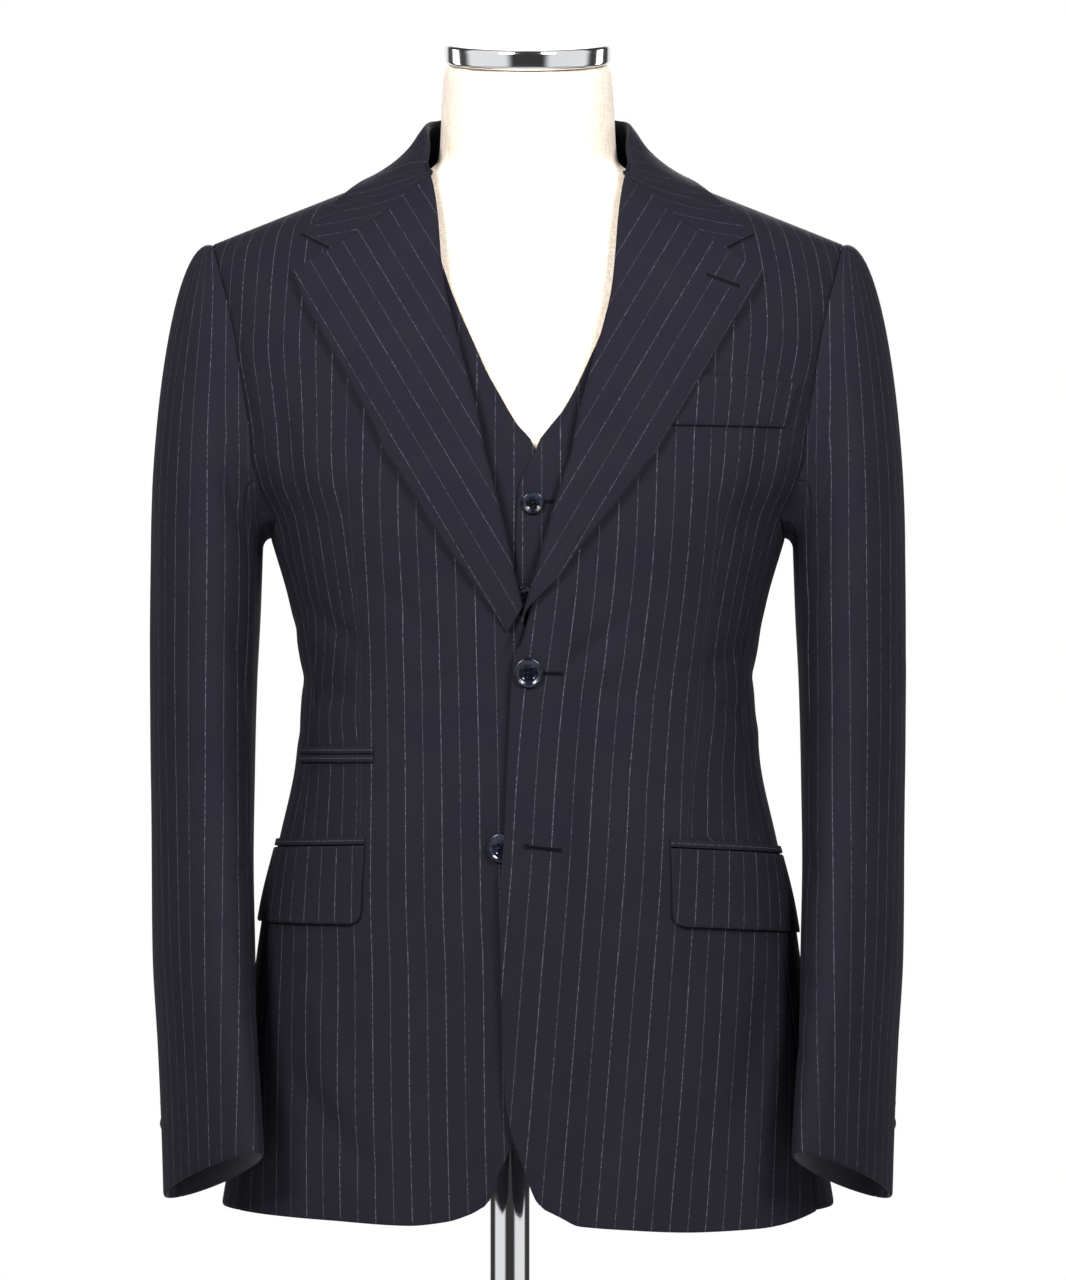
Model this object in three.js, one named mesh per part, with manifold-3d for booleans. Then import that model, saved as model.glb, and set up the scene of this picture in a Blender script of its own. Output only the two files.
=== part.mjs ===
// A pinstriped suit jacket over its waistcoat, standing on a limbless dress form.
// Every cloth piece is a thin wall. It follows one body surface, which is worked out from
// a table of sections, and each piece is the part of that surface between its own cut lines.
// Millimetres, +Z up, the front faces -Y, +X is the wearer's left, and the floor is z = 0.

import * as THREE from 'three';
import { mergeVertices } from 'three/addons/utils/BufferGeometryUtils.js';
import Module from 'manifold-3d';

const wasm = await Module();
wasm.setup();

// ---- Driving dimensions ----

const CLOTH = 2;             // jacket cloth with its canvas
const WAISTCOAT_CLOTH = 1.6;
const SEAM = 0.3;            // gap left between two pieces that are sewn together
const LAY = 0.9;             // gap under a piece that lies on a panel
const ROUNDNESS = 2.2;       // exponent of the body's oval sections
const DOME = 2.5;            // exponent of the curve that closes the body over the shoulders

const ARMPIT = 1215;         // height of the lowest point of the armhole's front and back
const CHEST_TOP = 1260;      // from here up the body closes over towards the shoulder line
const SHOULDER_ARC = 140;    // rise counted for each radian of that closing curve
const TOP = CHEST_TOP + SHOULDER_ARC * Math.PI / 2;
const SHOULDER = { end: 219, height: 1407, slope: 0.39 };

const ROWS_BELOW = 10;       // rows of a jacket panel from the hem to the armpit
const ROWS_ABOVE = 10;       // rows from the armpit to the shoulder line
const HEM = 739;

const POLE = { x: -12.5, radius: 14 };
const BASE_RADIUS = 190;

// Sections of the jacket's outside: half width, depths in front of and behind the centre
// line, and how far back that line lies.
const bodySections = [
  { rise: 735, half: 215, front: 122, back: 134, shift: 35 },
  { rise: 790, half: 206, front: 120, back: 134, shift: 28 },
  { rise: 850, half: 199, front: 118, back: 132, shift: 20 },
  { rise: 900, half: 192, front: 117, back: 131, shift: 13 },
  { rise: 950, half: 184, front: 117, back: 128, shift: 7 },
  { rise: 1000, half: 171.5, front: 117, back: 121, shift: 2 },
  { rise: 1050, half: 161, front: 117, back: 113, shift: 0 },
  { rise: 1105, half: 157, front: 118, back: 107, shift: 0 },
  { rise: 1133, half: 160.5, front: 120, back: 107, shift: 0 },
  { rise: 1161, half: 166, front: 122, back: 109, shift: 0 },
  { rise: 1189, half: 174, front: 125, back: 112, shift: 0 },
  { rise: 1215, half: 183, front: 127, back: 115, shift: 0 },
  { rise: 1242, half: 204, front: 127, back: 117, shift: 0 },
  { rise: 1260, half: 214, front: 126, back: 118, shift: 0 },
  { rise: 1330, half: 228, front: 124, back: 120, shift: 0 },
  { rise: 1400, half: 234, front: 122, back: 120, shift: 0 },
  { rise: 1480, half: 236, front: 121, back: 120, shift: 0 },
];

// ---- Curves and the body surface ----

const radians = THREE.MathUtils.degToRad;
const mix = THREE.MathUtils.lerp;

// Rises from 0 to 1 as value goes from low to high, and the other way round for fadeOut.
const fadeIn = (value, low, high) => THREE.MathUtils.smoothstep(value, low, high);
const fadeOut = (value, low, high) => 1 - fadeIn(value, low, high);

// A curve through the rows of a table that never swings past a row's value.
function tableCurve(rows, key, column) {
  const xs = rows.map((row) => row[key]);
  const ys = rows.map((row) => row[column]);
  const last = xs.length - 1;
  const rate = (i) => (ys[i + 1] - ys[i]) / (xs[i + 1] - xs[i]);
  const slopes = xs.map((_, i) => {
    if (i === 0) return rate(0);
    if (i === last) return rate(last - 1);
    const before = rate(i - 1);
    const after = rate(i);
    return before * after <= 0 ? 0 : 2 * before * after / (before + after);
  });
  return (x) => {
    if (x <= xs[0]) return ys[0] + slopes[0] * (x - xs[0]);
    if (x >= xs[last]) return ys[last] + slopes[last] * (x - xs[last]);
    let i = 0;
    while (xs[i + 1] < x) i += 1;
    const width = xs[i + 1] - xs[i];
    const t = (x - xs[i]) / width;
    const bend = width * (slopes[i] * t * (1 - t) ** 2 - slopes[i + 1] * t * t * (1 - t));
    return mix(ys[i], ys[i + 1], t * t * (3 - 2 * t)) + bend;
  };
}

// Steps for measuring the surface's directions, in radians and in rise.
const LITTLE_TURN = 0.004;
const LITTLE_RISE = 0.5;

// A body is a function of the angle round it, 0 at the front centre and 90 degrees at the
// wearer's left side, and of the rise, which is the height up to CHEST_TOP and from there
// follows the curve to the shoulder line. out moves the point off the surface.
function makeBody(sections, shoulder) {
  const half = tableCurve(sections, 'rise', 'half');
  const front = tableCurve(sections, 'rise', 'front');
  const back = tableCurve(sections, 'rise', 'back');
  const shift = tableCurve(sections, 'rise', 'shift');
  const ridge = (x) => shoulder.height + (shoulder.end - Math.abs(x)) * shoulder.slope;

  function surface(angle, rise) {
    const sine = Math.sin(angle);
    const cosine = Math.cos(angle);
    const x = half(rise) * Math.sign(sine) * Math.abs(sine) ** (2 / ROUNDNESS);
    const reach = cosine > 0 ? -front(rise) : back(rise);
    const depth = reach * Math.abs(cosine) ** (2 / ROUNDNESS);
    const turn = THREE.MathUtils.clamp((rise - CHEST_TOP) / SHOULDER_ARC, 0, Math.PI / 2);
    const close = Math.max(Math.cos(turn), 0) ** (2 / DOME);
    const climb = (ridge(x) - CHEST_TOP) * Math.sin(turn) ** (2 / DOME);
    const z = rise <= CHEST_TOP ? rise : CHEST_TOP + climb;
    return new THREE.Vector3(x, shift(rise) + depth * close, z);
  }

  function point(angle, rise, out = 0) {
    const place = surface(angle, rise);
    if (out === 0) return place;
    return place.addScaledVector(normal(angle, rise), out);
  }

  function normal(angle, rise) {
    const above = Math.min(rise + LITTLE_RISE, TOP);
    const around = surface(angle + LITTLE_TURN, rise).sub(surface(angle - LITTLE_TURN, rise));
    const up = surface(angle, above).sub(surface(angle, above - 2 * LITTLE_RISE));
    return around.cross(up).normalize();
  }

  // The angle that lies x from the centre line, at the front.
  function angleAt(x, rise) {
    const share = Math.min(Math.abs(x) / half(rise), 1);
    return Math.sign(x) * Math.asin(share ** (ROUNDNESS / 2));
  }

  // How far from the centre line the point at an angle lies.
  function acrossAt(angle, rise) {
    return half(rise) * Math.sign(angle) * Math.abs(Math.sin(angle)) ** (2 / ROUNDNESS);
  }

  // The angle changed so that the point moves by a length round the body.
  function moveRound(angle, rise, length) {
    const step = surface(angle + LITTLE_TURN, rise).distanceTo(surface(angle - LITTLE_TURN, rise));
    return angle + length * 2 * LITTLE_TURN / step;
  }

  // Height of the shoulder over a place in plan.
  function shoulderHeight(x, y) {
    const share = Math.max(1 - (Math.abs(x) / half(TOP)) ** ROUNDNESS, 0) ** (1 / ROUNDNESS);
    const depth = (y < 0 ? front(TOP) : back(TOP)) * share;
    const reach = Math.min(Math.abs(y) / depth, 1);
    return CHEST_TOP + (ridge(x) - CHEST_TOP) * (1 - reach ** DOME) ** (1 / DOME);
  }

  return { point, normal, angleAt, acrossAt, moveRound, shoulderHeight };
}

const jacketBody = makeBody(bodySections, SHOULDER);

// ---- Walls ----

// A closed wall between two grids of points, outer[column][row] and inner[column][row].
function wall(outer, inner) {
  const columns = outer.length;
  const rows = outer[0].length;
  const positions = [...outer.flat(), ...inner.flat()].flatMap((p) => [p.x, p.y, p.z]);
  const index = [];
  const at = (layer, column, row) => layer * columns * rows + column * rows + row;
  const quad = (a, b, c, d) => index.push(a, b, c, a, c, d);
  for (let i = 0; i + 1 < columns; i += 1) {
    for (let j = 0; j + 1 < rows; j += 1) {
      quad(at(0, i, j), at(0, i + 1, j), at(0, i + 1, j + 1), at(0, i, j + 1));
      quad(at(1, i, j), at(1, i, j + 1), at(1, i + 1, j + 1), at(1, i + 1, j));
    }
  }
  const top = rows - 1;
  for (let i = 0; i + 1 < columns; i += 1) {
    quad(at(0, i, 0), at(1, i, 0), at(1, i + 1, 0), at(0, i + 1, 0));
    quad(at(0, i, top), at(0, i + 1, top), at(1, i + 1, top), at(1, i, top));
  }
  const end = columns - 1;
  for (let j = 0; j + 1 < rows; j += 1) {
    quad(at(0, 0, j), at(0, 0, j + 1), at(1, 0, j + 1), at(1, 0, j));
    quad(at(0, end, j), at(1, end, j), at(1, end, j + 1), at(0, end, j + 1));
  }
  return facingOut(positions, index);
}

// Turns every triangle round when the closed mesh would face inwards.
function facingOut(positions, index) {
  let volume = 0;
  for (let i = 0; i < index.length; i += 3) {
    const corner = (k) => new THREE.Vector3().fromArray(positions, index[i + k] * 3);
    const [a, b, c] = [corner(0), corner(1), corner(2)];
    volume += a.dot(b.cross(c));
  }
  if (volume < 0) {
    for (let i = 0; i < index.length; i += 3) {
      [index[i + 1], index[i + 2]] = [index[i + 2], index[i + 1]];
    }
  }
  const geometry = new THREE.BufferGeometry();
  geometry.setAttribute('position', new THREE.Float32BufferAttribute(positions, 3));
  geometry.setIndex(index);
  geometry.computeVertexNormals();
  return geometry;
}

// The unit normal of a grid at one of its points, taken from its neighbours.
function gridNormal(grid, i, j) {
  const left = grid[Math.max(i - 1, 0)][j];
  const right = grid[Math.min(i + 1, grid.length - 1)][j];
  const below = grid[i][Math.max(j - 1, 0)];
  const above = grid[i][Math.min(j + 1, grid[i].length - 1)];
  return right.clone().sub(left).cross(above.clone().sub(below)).normalize();
}

// A grid of points made by a function of column and row.
function makeGrid(columns, rows, place) {
  return Array.from({ length: columns + 1 }, (_, i) => (
    Array.from({ length: rows + 1 }, (_unused, j) => place(i, j))));
}

// A panel of the body: place(i, j) gives its angle, rise and how far out its face lies.
function bodyPanel(body, columns, rows, thickness, place) {
  const spots = makeGrid(columns, rows, place);
  const layer = (depth) => spots.map((column) => (
    column.map((spot) => body.point(spot.angle, spot.rise, spot.out - depth))));
  return wall(layer(0), layer(thickness));
}

// ---- Materials ----

function finish(color, roughness, metalness) {
  return new THREE.MeshStandardMaterial({ color, roughness, metalness });
}
const worsted = finish(0x23242b, 0.85, 0);
const worstedTrim = finish(0x1c1d24, 0.85, 0);
const buttonHorn = finish(0x1a2030, 0.15, 0);
const linen = finish(0xf3e8da, 0.9, 0);
const chrome = finish(0xd8dade, 0.08, 1);

const suit = new THREE.Group();

function add(name, geometry, material) {
  const mesh = new THREE.Mesh(geometry, material);
  mesh.name = name;
  suit.add(mesh);
  return mesh;
}

// ---- Jacket fronts ----

// The edge of each front, as its distance from the centre line towards its own side. Up to
// the break it is the free edge, above it the lapel's roll line, and at the top the neck.
const BREAK = 1140;
const rightEdge = [
  { rise: 749, across: 29.3 }, { rise: 756, across: 24.4 }, { rise: 768, across: 20.8 },
  { rise: 793, across: 9.5 }, { rise: 812, across: 3 }, { rise: 850, across: -6 },
  { rise: 930, across: -11 }, { rise: 1111, across: -12 }, { rise: 1140, across: -3 },
  { rise: 1160, across: 4.4 }, { rise: 1200, across: 14 }, { rise: 1257, across: 28.7 },
  { rise: 1287, across: 43 }, { rise: 1306, across: 50.5 }, { rise: 1324, across: 56.3 },
  { rise: 1341, across: 58.8 }, { rise: 1374, across: 61.5 }, { rise: 1412, across: 66 },
  { rise: 1480, across: 77 },
];
const leftEdge = [
  { rise: 748, across: 11 }, { rise: 755, across: 4.8 }, { rise: 774, across: -2 },
  { rise: 793, across: -9.2 }, { rise: 825, across: -15.2 }, { rise: 884, across: -17.4 },
  { rise: 960, across: -18.6 }, { rise: 1001, across: -15.8 }, { rise: 1039, across: -14 },
  { rise: 1112, across: -10.6 }, { rise: 1126, across: -10 }, { rise: 1140, across: -6.6 },
  { rise: 1160, across: -0.7 }, { rise: 1180, across: 5.5 }, { rise: 1205, across: 12.6 },
  { rise: 1257, across: 29 }, { rise: 1285, across: 42.6 }, { rise: 1306, across: 51.5 },
  { rise: 1324, across: 56.8 }, { rise: 1341, across: 59 }, { rise: 1374, across: 61.8 },
  { rise: 1412, across: 66 }, { rise: 1480, across: 77 },
];
const rightHem = [
  { across: 29.3, rise: 749 }, { across: 36, rise: 743.5 }, { across: 48, rise: 738 },
  { across: 68, rise: 735 }, { across: 114, rise: 737 }, { across: 205, rise: HEM },
];
const leftHem = [
  { across: 11, rise: 748 }, { across: 18, rise: 742.5 }, { across: 27, rise: 735.5 },
  { across: 43, rise: 733 }, { across: 94, rise: 729.5 }, { across: 135, rise: 730 },
  { across: 205, rise: HEM },
];
// Angles of the front and back side seams, which run on up as the armhole's two sides.
const frontSeam = [
  { rise: 735, angle: 68 }, { rise: 1050, angle: 67 }, { rise: ARMPIT, angle: 70 },
  { rise: 1242, angle: 63.5 }, { rise: 1270, angle: 60 }, { rise: 1300, angle: 60 },
  { rise: 1346, angle: 61.6 }, { rise: 1400, angle: 64.5 }, { rise: 1480, angle: 67.3 },
];
const backSeam = [
  { rise: 735, angle: 112 }, { rise: 1050, angle: 113 }, { rise: ARMPIT, angle: 110 },
  { rise: 1242, angle: 116 }, { rise: 1270, angle: 118 }, { rise: 1300, angle: 118.5 },
  { rise: 1346, angle: 118 }, { rise: 1400, angle: 115.5 }, { rise: 1480, angle: 112.7 },
];
const ROLL_SETBACK = 4.4;    // the front's own edge lies this far behind the roll line
const LAP_LIFT = 6;          // the left front lies this far out where it laps the right
const LAP = { full: 16, none: 46, below: 1155, above: 1210 };  // where the lap's lift fades
const HEM_REACH = 200;       // the hem's table is followed this far across
const FRONT_COLUMNS = 11;
const EDGE_CROWDING = 1.3;   // over 1, a panel's columns lie closer together at its edge

const frontSeamAngle = tableCurve(frontSeam, 'rise', 'angle');
const backSeamAngle = tableCurve(backSeam, 'rise', 'angle');
const fronts = {
  left: { side: 1, edge: tableCurve(leftEdge, 'rise', 'across'), hem: leftHem },
  right: { side: -1, edge: tableCurve(rightEdge, 'rise', 'across'), hem: rightHem },
};

// The rise of a row: evenly spaced from the hem to the armpit, and from there to the top.
function rowRise(row, hem, top = TOP, below = ROWS_BELOW) {
  if (row <= below) return mix(hem, ARMPIT, row / below);
  return mix(ARMPIT, top, (row - below) / ROWS_ABOVE);
}

// How far the left front stands out near its edge, where it laps the right one.
function lapLift(across, rise) {
  return LAP_LIFT * fadeOut(across, LAP.full, LAP.none) * fadeOut(rise, LAP.below, LAP.above);
}

function frontLift(front, angle, rise) {
  return front.side < 0 ? 0 : lapLift(jacketBody.acrossAt(angle, rise), rise);
}

function frontPanel(front) {
  const hem = tableCurve(front.hem, 'across', 'rise');
  const start = front.hem[0];
  return bodyPanel(jacketBody, FRONT_COLUMNS, ROWS_BELOW + ROWS_ABOVE, CLOTH, (i, j) => {
    const share = (i / FRONT_COLUMNS) ** EDGE_CROWDING;
    const rise = rowRise(j, hem(mix(start.across, HEM_REACH, share)));
    const setback = ROLL_SETBACK * fadeIn(rise, BREAK - 30, BREAK);
    const edge = jacketBody.angleAt(front.edge(Math.max(rise, start.rise)) + setback, rise);
    const seam = jacketBody.moveRound(radians(frontSeamAngle(rise)), rise, -SEAM / 2);
    const angle = mix(edge, seam, share);
    return { angle: front.side * angle, rise, out: frontLift(front, angle, rise) };
  });
}

for (const [name, front] of Object.entries(fronts)) {
  add(`jacket_front_${name}`, frontPanel(front), worsted);
}

// ---- Jacket sides and backs ----

const SIDE_COLUMNS = 4;
const UNDERARM_DIP = 12;     // the armhole dips this far under the arm

// The rise of the side panel's top, which is the bottom of the armhole.
function underarmRise(share) {
  return ARMPIT - UNDERARM_DIP * Math.sin(Math.PI * share);
}

function sidePanel(side) {
  return bodyPanel(jacketBody, SIDE_COLUMNS, ROWS_BELOW, CLOTH, (i, j) => {
    const share = i / SIDE_COLUMNS;
    const rise = mix(HEM, underarmRise(share), j / ROWS_BELOW);
    const from = jacketBody.moveRound(radians(frontSeamAngle(rise)), rise, SEAM / 2);
    const to = jacketBody.moveRound(radians(backSeamAngle(rise)), rise, -SEAM / 2);
    return { angle: side * mix(from, to, share), rise, out: 0 };
  });
}

// The back's top: the neck curves up from the centre back to the neck point, and from
// there the shoulder seam runs out along the shoulder line.
const BACK_NECK = 1390;
const NECK_POINT = 80;
const NECK_CURVE = 2.4;      // exponent of the back neck's curve
const BACK_COLUMNS = 9;
const SEAM_CROWDING = 0.9;   // under 1, the back's columns lie closer together at the centre
const SHOULDER_GAP = 0.4;    // rise left between the back's and the front's shoulder edges

function backTop(angle) {
  const across = jacketBody.acrossAt(Math.abs(angle), TOP);
  return mix(BACK_NECK, TOP - SHOULDER_GAP, Math.min(across / NECK_POINT, 1) ** NECK_CURVE);
}

function backPanel(side) {
  return bodyPanel(jacketBody, BACK_COLUMNS, ROWS_BELOW + ROWS_ABOVE, CLOTH, (i, j) => {
    const share = (i / BACK_COLUMNS) ** SEAM_CROWDING;
    const seamOf = (rise) => jacketBody.moveRound(radians(backSeamAngle(rise)), rise, SEAM / 2);
    const centreOf = (rise) => jacketBody.moveRound(Math.PI, rise, -SEAM / 2);
    const levelled = mix(seamOf(rowRise(j, HEM)), centreOf(rowRise(j, HEM)), share);
    const rise = rowRise(j, HEM, backTop(levelled));
    const angle = mix(seamOf(rise), centreOf(rise), share);
    return { angle: side * angle, rise, out: 0 };
  });
}

for (const [name, side] of [['left', 1], ['right', -1]]) {
  add(`jacket_side_${name}`, sidePanel(side), worsted);
  add(`jacket_back_${name}`, backPanel(side), worsted);
}

// ---- Lapels ----

// The fold of a lapel or collar along its roll line: how far from that line, towards the
// wearer's side, and how far out of the body each point of its two faces lies.
const FOLD = [
  { outIn: 1.0, out: -1.3, underIn: 2.4, under: -0.8 },
  { outIn: -0.6, out: 0.7, underIn: 1.5, under: 0.5 },
  { outIn: 0.4, out: 3.0, underIn: 2.0, under: 1.4 },
  { outIn: 4.0, out: 4.1, underIn: 4.5, under: 2.1 },
  { outIn: 10, out: 3.9, underIn: 10, under: 1.9 },
];
const LAPEL_OUT = 3.4;       // the flat lapel's face above the front
const LAPEL_ROWS = 16;
const LAPEL_FLATS = [0.26, 0.686, 0.854, 1];  // columns over the flat part, as shares of it
const LEAST_WIDTH = 3;       // the lapel runs out to this at the break
const FULL_FOLD = 24;        // narrower than this, the fold is drawn in with the lapel
const TOP_BEND = 4;          // exponent with which the rows bend to the gorge near the top

// The gorge seam and the notch, as distance across and rise on the body.
const GORGE_ROLL = { across: 66, rise: 1412 };
const GORGE_MIDDLE = { across: 97, rise: 1388 };
const NOTCH = { across: 133, rise: 1370.5 };
const LAPEL_TIP = { across: 158.5, rise: 1361 };
const lapels = {
  right: {
    bottom: { roll: 1156, edge: 1139 },
    outline: [
      { rise: 1139, across: 13.5 }, { rise: 1155.5, across: 25 }, { rise: 1172, across: 36.5 },
      { rise: 1191, across: 50 }, { rise: 1211, across: 64 }, { rise: 1230, across: 75.8 },
      { rise: 1248, across: 87 }, { rise: 1262, across: 98 }, { rise: 1273, across: 108.5 },
      { rise: 1285, across: 118.5 }, { rise: 1300, across: 129.5 }, { rise: 1318, across: 141 },
      { rise: 1334, across: 149.3 }, { rise: 1361, across: 158.5 },
    ],
  },
  left: {
    bottom: { roll: 1131, edge: 1141 },
    outline: [
      { rise: 1141, across: -3.5 }, { rise: 1153, across: -1 }, { rise: 1161, across: 6 },
      { rise: 1173, across: 18 }, { rise: 1192, across: 32.5 }, { rise: 1210, across: 46.5 },
      { rise: 1224, across: 58 }, { rise: 1242, across: 72 }, { rise: 1258, across: 84.5 },
      { rise: 1267, across: 96 }, { rise: 1275, across: 104.5 }, { rise: 1285, across: 113.5 },
      { rise: 1300, across: 124.5 }, { rise: 1328, across: 143 }, { rise: 1345, across: 152.5 },
      { rise: 1361, across: 158.5 },
    ],
  },
};

// A point of the lapel's top edge, from the roll line along the gorge seam to the notch,
// and from there along the lapel's own free edge to its tip.
const NOTCH_SHARE = 0.72;
function gorge(share) {
  const legs = [GORGE_ROLL, GORGE_MIDDLE, NOTCH, LAPEL_TIP];
  const shares = [0, 0.34, NOTCH_SHARE, 1];
  const leg = share <= shares[1] ? 0 : share <= shares[2] ? 1 : 2;
  const t = (share - shares[leg]) / (shares[leg + 1] - shares[leg]);
  return {
    across: mix(legs[leg].across, legs[leg + 1].across, t),
    rise: mix(legs[leg].rise, legs[leg + 1].rise, t),
  };
}

// How far the gorge lies off the straight line from the roll to the lapel's tip.
function gorgeBow(share) {
  const cut = gorge(THREE.MathUtils.clamp(share, 0, 1));
  return {
    across: cut.across - mix(GORGE_ROLL.across, LAPEL_TIP.across, share),
    rise: cut.rise - mix(GORGE_ROLL.rise, LAPEL_TIP.rise, share),
  };
}

// One row across a lapel, from its roll line to its edge, at share v of its length. Its
// place() takes a distance from the roll line and a height over the front.
function lapelRow(front, bottom, outlineAcross, v) {
  const rollRise = mix(bottom.roll, GORGE_ROLL.rise, v);
  const edgeRise = mix(bottom.edge, LAPEL_TIP.rise, v);
  const roll = front.edge(rollRise);
  const width = Math.max(outlineAcross(edgeRise) - roll, LEAST_WIDTH);
  const shrink = Math.min(1, width / FULL_FOLD);
  const place = (inset, height) => {
    const share = inset * shrink / width;
    const bow = gorgeBow(share);
    const bend = share > 0 ? v ** TOP_BEND : 0;
    const rise = mix(rollRise, edgeRise, share) + bend * bow.rise;
    const across = roll + inset * shrink + bend * bow.across;
    const angle = front.side * jacketBody.angleAt(across, rise);
    return jacketBody.point(angle, rise, height + frontLift(front, angle, rise));
  };
  return { reach: width / shrink, place };
}

function lapel(name) {
  const { bottom, outline } = lapels[name];
  const outlineAcross = tableCurve(outline, 'rise', 'across');
  const rows = Array.from({ length: LAPEL_ROWS + 1 }, (_, j) => (
    lapelRow(fronts[name], bottom, outlineAcross, j / LAPEL_ROWS)));
  const start = FOLD[FOLD.length - 1].outIn;
  const outer = [
    ...FOLD.map(({ outIn, out }) => rows.map((row) => row.place(outIn, out))),
    ...LAPEL_FLATS.map((flat) => rows.map((row) => (
      row.place(mix(start, row.reach, flat), LAPEL_OUT)))),
  ];
  const under = [
    ...FOLD.map(({ underIn, under: height }) => rows.map((row) => row.place(underIn, height))),
    ...LAPEL_FLATS.map((flat) => rows.map((row) => (
      row.place(mix(start, row.reach, flat), LAPEL_OUT - CLOTH)))),
  ];
  return wall(outer, under);
}

for (const name of ['left', 'right']) {
  add(`lapel_${name}`, lapel(name), worsted);
}

// ---- Collar ----

// Stations from the centre back round to the front. crest is the top of the fold in space;
// foot and leaf are the angle and rise on the body of the stand's foot and the leaf's edge.
// A foot at the back stands just inside the back's neck edge.
const FOOT_GAP = 5.3;
const collarStations = [
  { crestX: 0, crestY: 74, crestZ: 1504, footAngle: 180, leafAngle: 180, leafRise: 1374 },
  { crestX: 24, crestY: 70, crestZ: 1503.5, footAngle: 174, leafAngle: 173, leafRise: 1377 },
  { crestX: 46, crestY: 55, crestZ: 1501, footAngle: 169, leafAngle: 166, leafRise: 1388 },
  { crestX: 61, crestY: 32, crestZ: 1497, footAngle: 165, leafAngle: 160, leafRise: 1415 },
  { crestX: 68, crestY: 8, crestZ: 1493, footAngle: 163.4, leafAngle: 156.5, leafRise: 1452 },
  { crestX: 69, crestY: -14, crestZ: 1486.5, footAngle: 16.8, footRise: 1470,
    leafAngle: 26.5, leafRise: 1472 },
  { crestX: 68, crestY: -34, crestZ: 1475, footAngle: 16, footRise: 1448,
    leafAngle: 30.5, leafRise: 1436 },
];
const COLLAR_TIP = { across: 153.5, rise: 1398 };
const COLLAR_OUT = 3.3;      // the leaf's face above the shoulder
const COLLAR_STEPS = 2;      // sections between two stations
const GORGE_GAP = 0.9;
const FOOT_SINK = 0.6;       // the stand's foot lies this far inside the body's face
const CREST = { back: 0.8, fall: 4, over: 1.8, turn: 6.5, turnFall: 4.5 };  // round the crest
const HOLLOW = { share: 0.36, lean: 0.72 };  // how the leaf bows in as it leaves the crest
const COLLAR_BACK = 74;      // the bow fades towards the back, whose crest lies this far back
const SHOULDER_REGION = { radius: 84, depth: 60 };  // where the leaf rests on the shoulder

// The points of the collar's outer face at a station: up the stand, over the crest and
// down the leaf to its edge.
function collarSection(station) {
  const crest = new THREE.Vector3(station.crestX, station.crestY, station.crestZ);
  const footAngle = radians(station.footAngle);
  const footRise = station.footRise ?? backTop(footAngle) + FOOT_GAP;
  const foot = jacketBody.point(footAngle, footRise, -FOOT_SINK);
  const edge = jacketBody.point(radians(station.leafAngle), station.leafRise, COLLAR_OUT);
  const outward = edge.clone().sub(crest).setZ(0).normalize();
  const crestPoint = (out, fall) => crest.clone().addScaledVector(outward, out).setZ(crest.z - fall);
  const start = crestPoint(CREST.turn, CREST.turnFall);
  const drop = edge.clone().sub(start);
  const hollow = start.clone().addScaledVector(drop, HOLLOW.share);
  const lean = HOLLOW.lean * Math.max(0, 1 - Math.abs(station.crestY) / COLLAR_BACK);
  hollow.z += drop.z * HOLLOW.share * lean;
  const bend = new THREE.QuadraticBezierCurve3(start, hollow, edge);
  return [
    foot,
    foot.clone().lerp(crest, 0.5),
    crestPoint(-CREST.back, CREST.fall),
    crestPoint(CREST.over, 0),
    ...[0, 0.25, 0.5, 0.75, 1].map((t) => bend.getPoint(t)),
  ];
}

// The two front sections lie on the body: one runs to the leaf's tip, and the last
// follows the gorge seam to the notch.
const COLLAR_FLATS = [0.22, 0.34, 0.53, NOTCH_SHARE];
const TIP_SECTION_RISE = GORGE_ROLL.rise + 12;

function onFront({ across, rise, out }) {
  return jacketBody.point(jacketBody.angleAt(across, rise), rise, out);
}

function collarTipSection() {
  const roll = fronts.right.edge(TIP_SECTION_RISE);
  const fold = FOLD.map(({ outIn, out }) => ({ across: roll + outIn, rise: TIP_SECTION_RISE, out }));
  const start = fold[fold.length - 1];
  const flats = COLLAR_FLATS.map((_, k) => {
    const share = (k + 1) / COLLAR_FLATS.length;
    const across = mix(start.across, COLLAR_TIP.across, share);
    return { across, rise: mix(start.rise, COLLAR_TIP.rise, share), out: COLLAR_OUT };
  });
  return [...fold, ...flats].map(onFront);
}

function collarGorgeSection() {
  const width = LAPEL_TIP.across - GORGE_ROLL.across;
  const follow = (share, across, out) => {
    const cut = gorge(Math.max(share, 0));
    return onFront({ across: across ?? cut.across, rise: cut.rise + GORGE_GAP, out });
  };
  return [
    ...FOLD.map(({ outIn, out }) => follow(outIn / width, GORGE_ROLL.across + outIn, out)),
    ...COLLAR_FLATS.map((share) => follow(share, undefined, COLLAR_OUT)),
  ];
}

function collar() {
  const half = collarStations.map(collarSection);
  half.push(collarTipSection());
  const last = collarGorgeSection();
  const mirror = (section) => section.map((p) => new THREE.Vector3(-p.x, p.y, p.z));
  const stations = [...half.slice(1).map(mirror).reverse(), ...half];
  const curves = half[0].map((_, k) => new THREE.CatmullRomCurve3(stations.map((s) => s[k])));
  const steps = (stations.length - 1) * COLLAR_STEPS;
  const sections = Array.from({ length: steps + 1 }, (_, i) => (
    curves.map((curve) => restOnShoulder(curve.getPoint(i / steps)))));
  const grid = [mirror(last), ...sections, last];
  const under = grid.map((section, i) => section.map((p, k) => (
    p.clone().addScaledVector(gridNormal(grid, i, k), -CLOTH))));
  return wall(grid, under);
}

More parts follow.
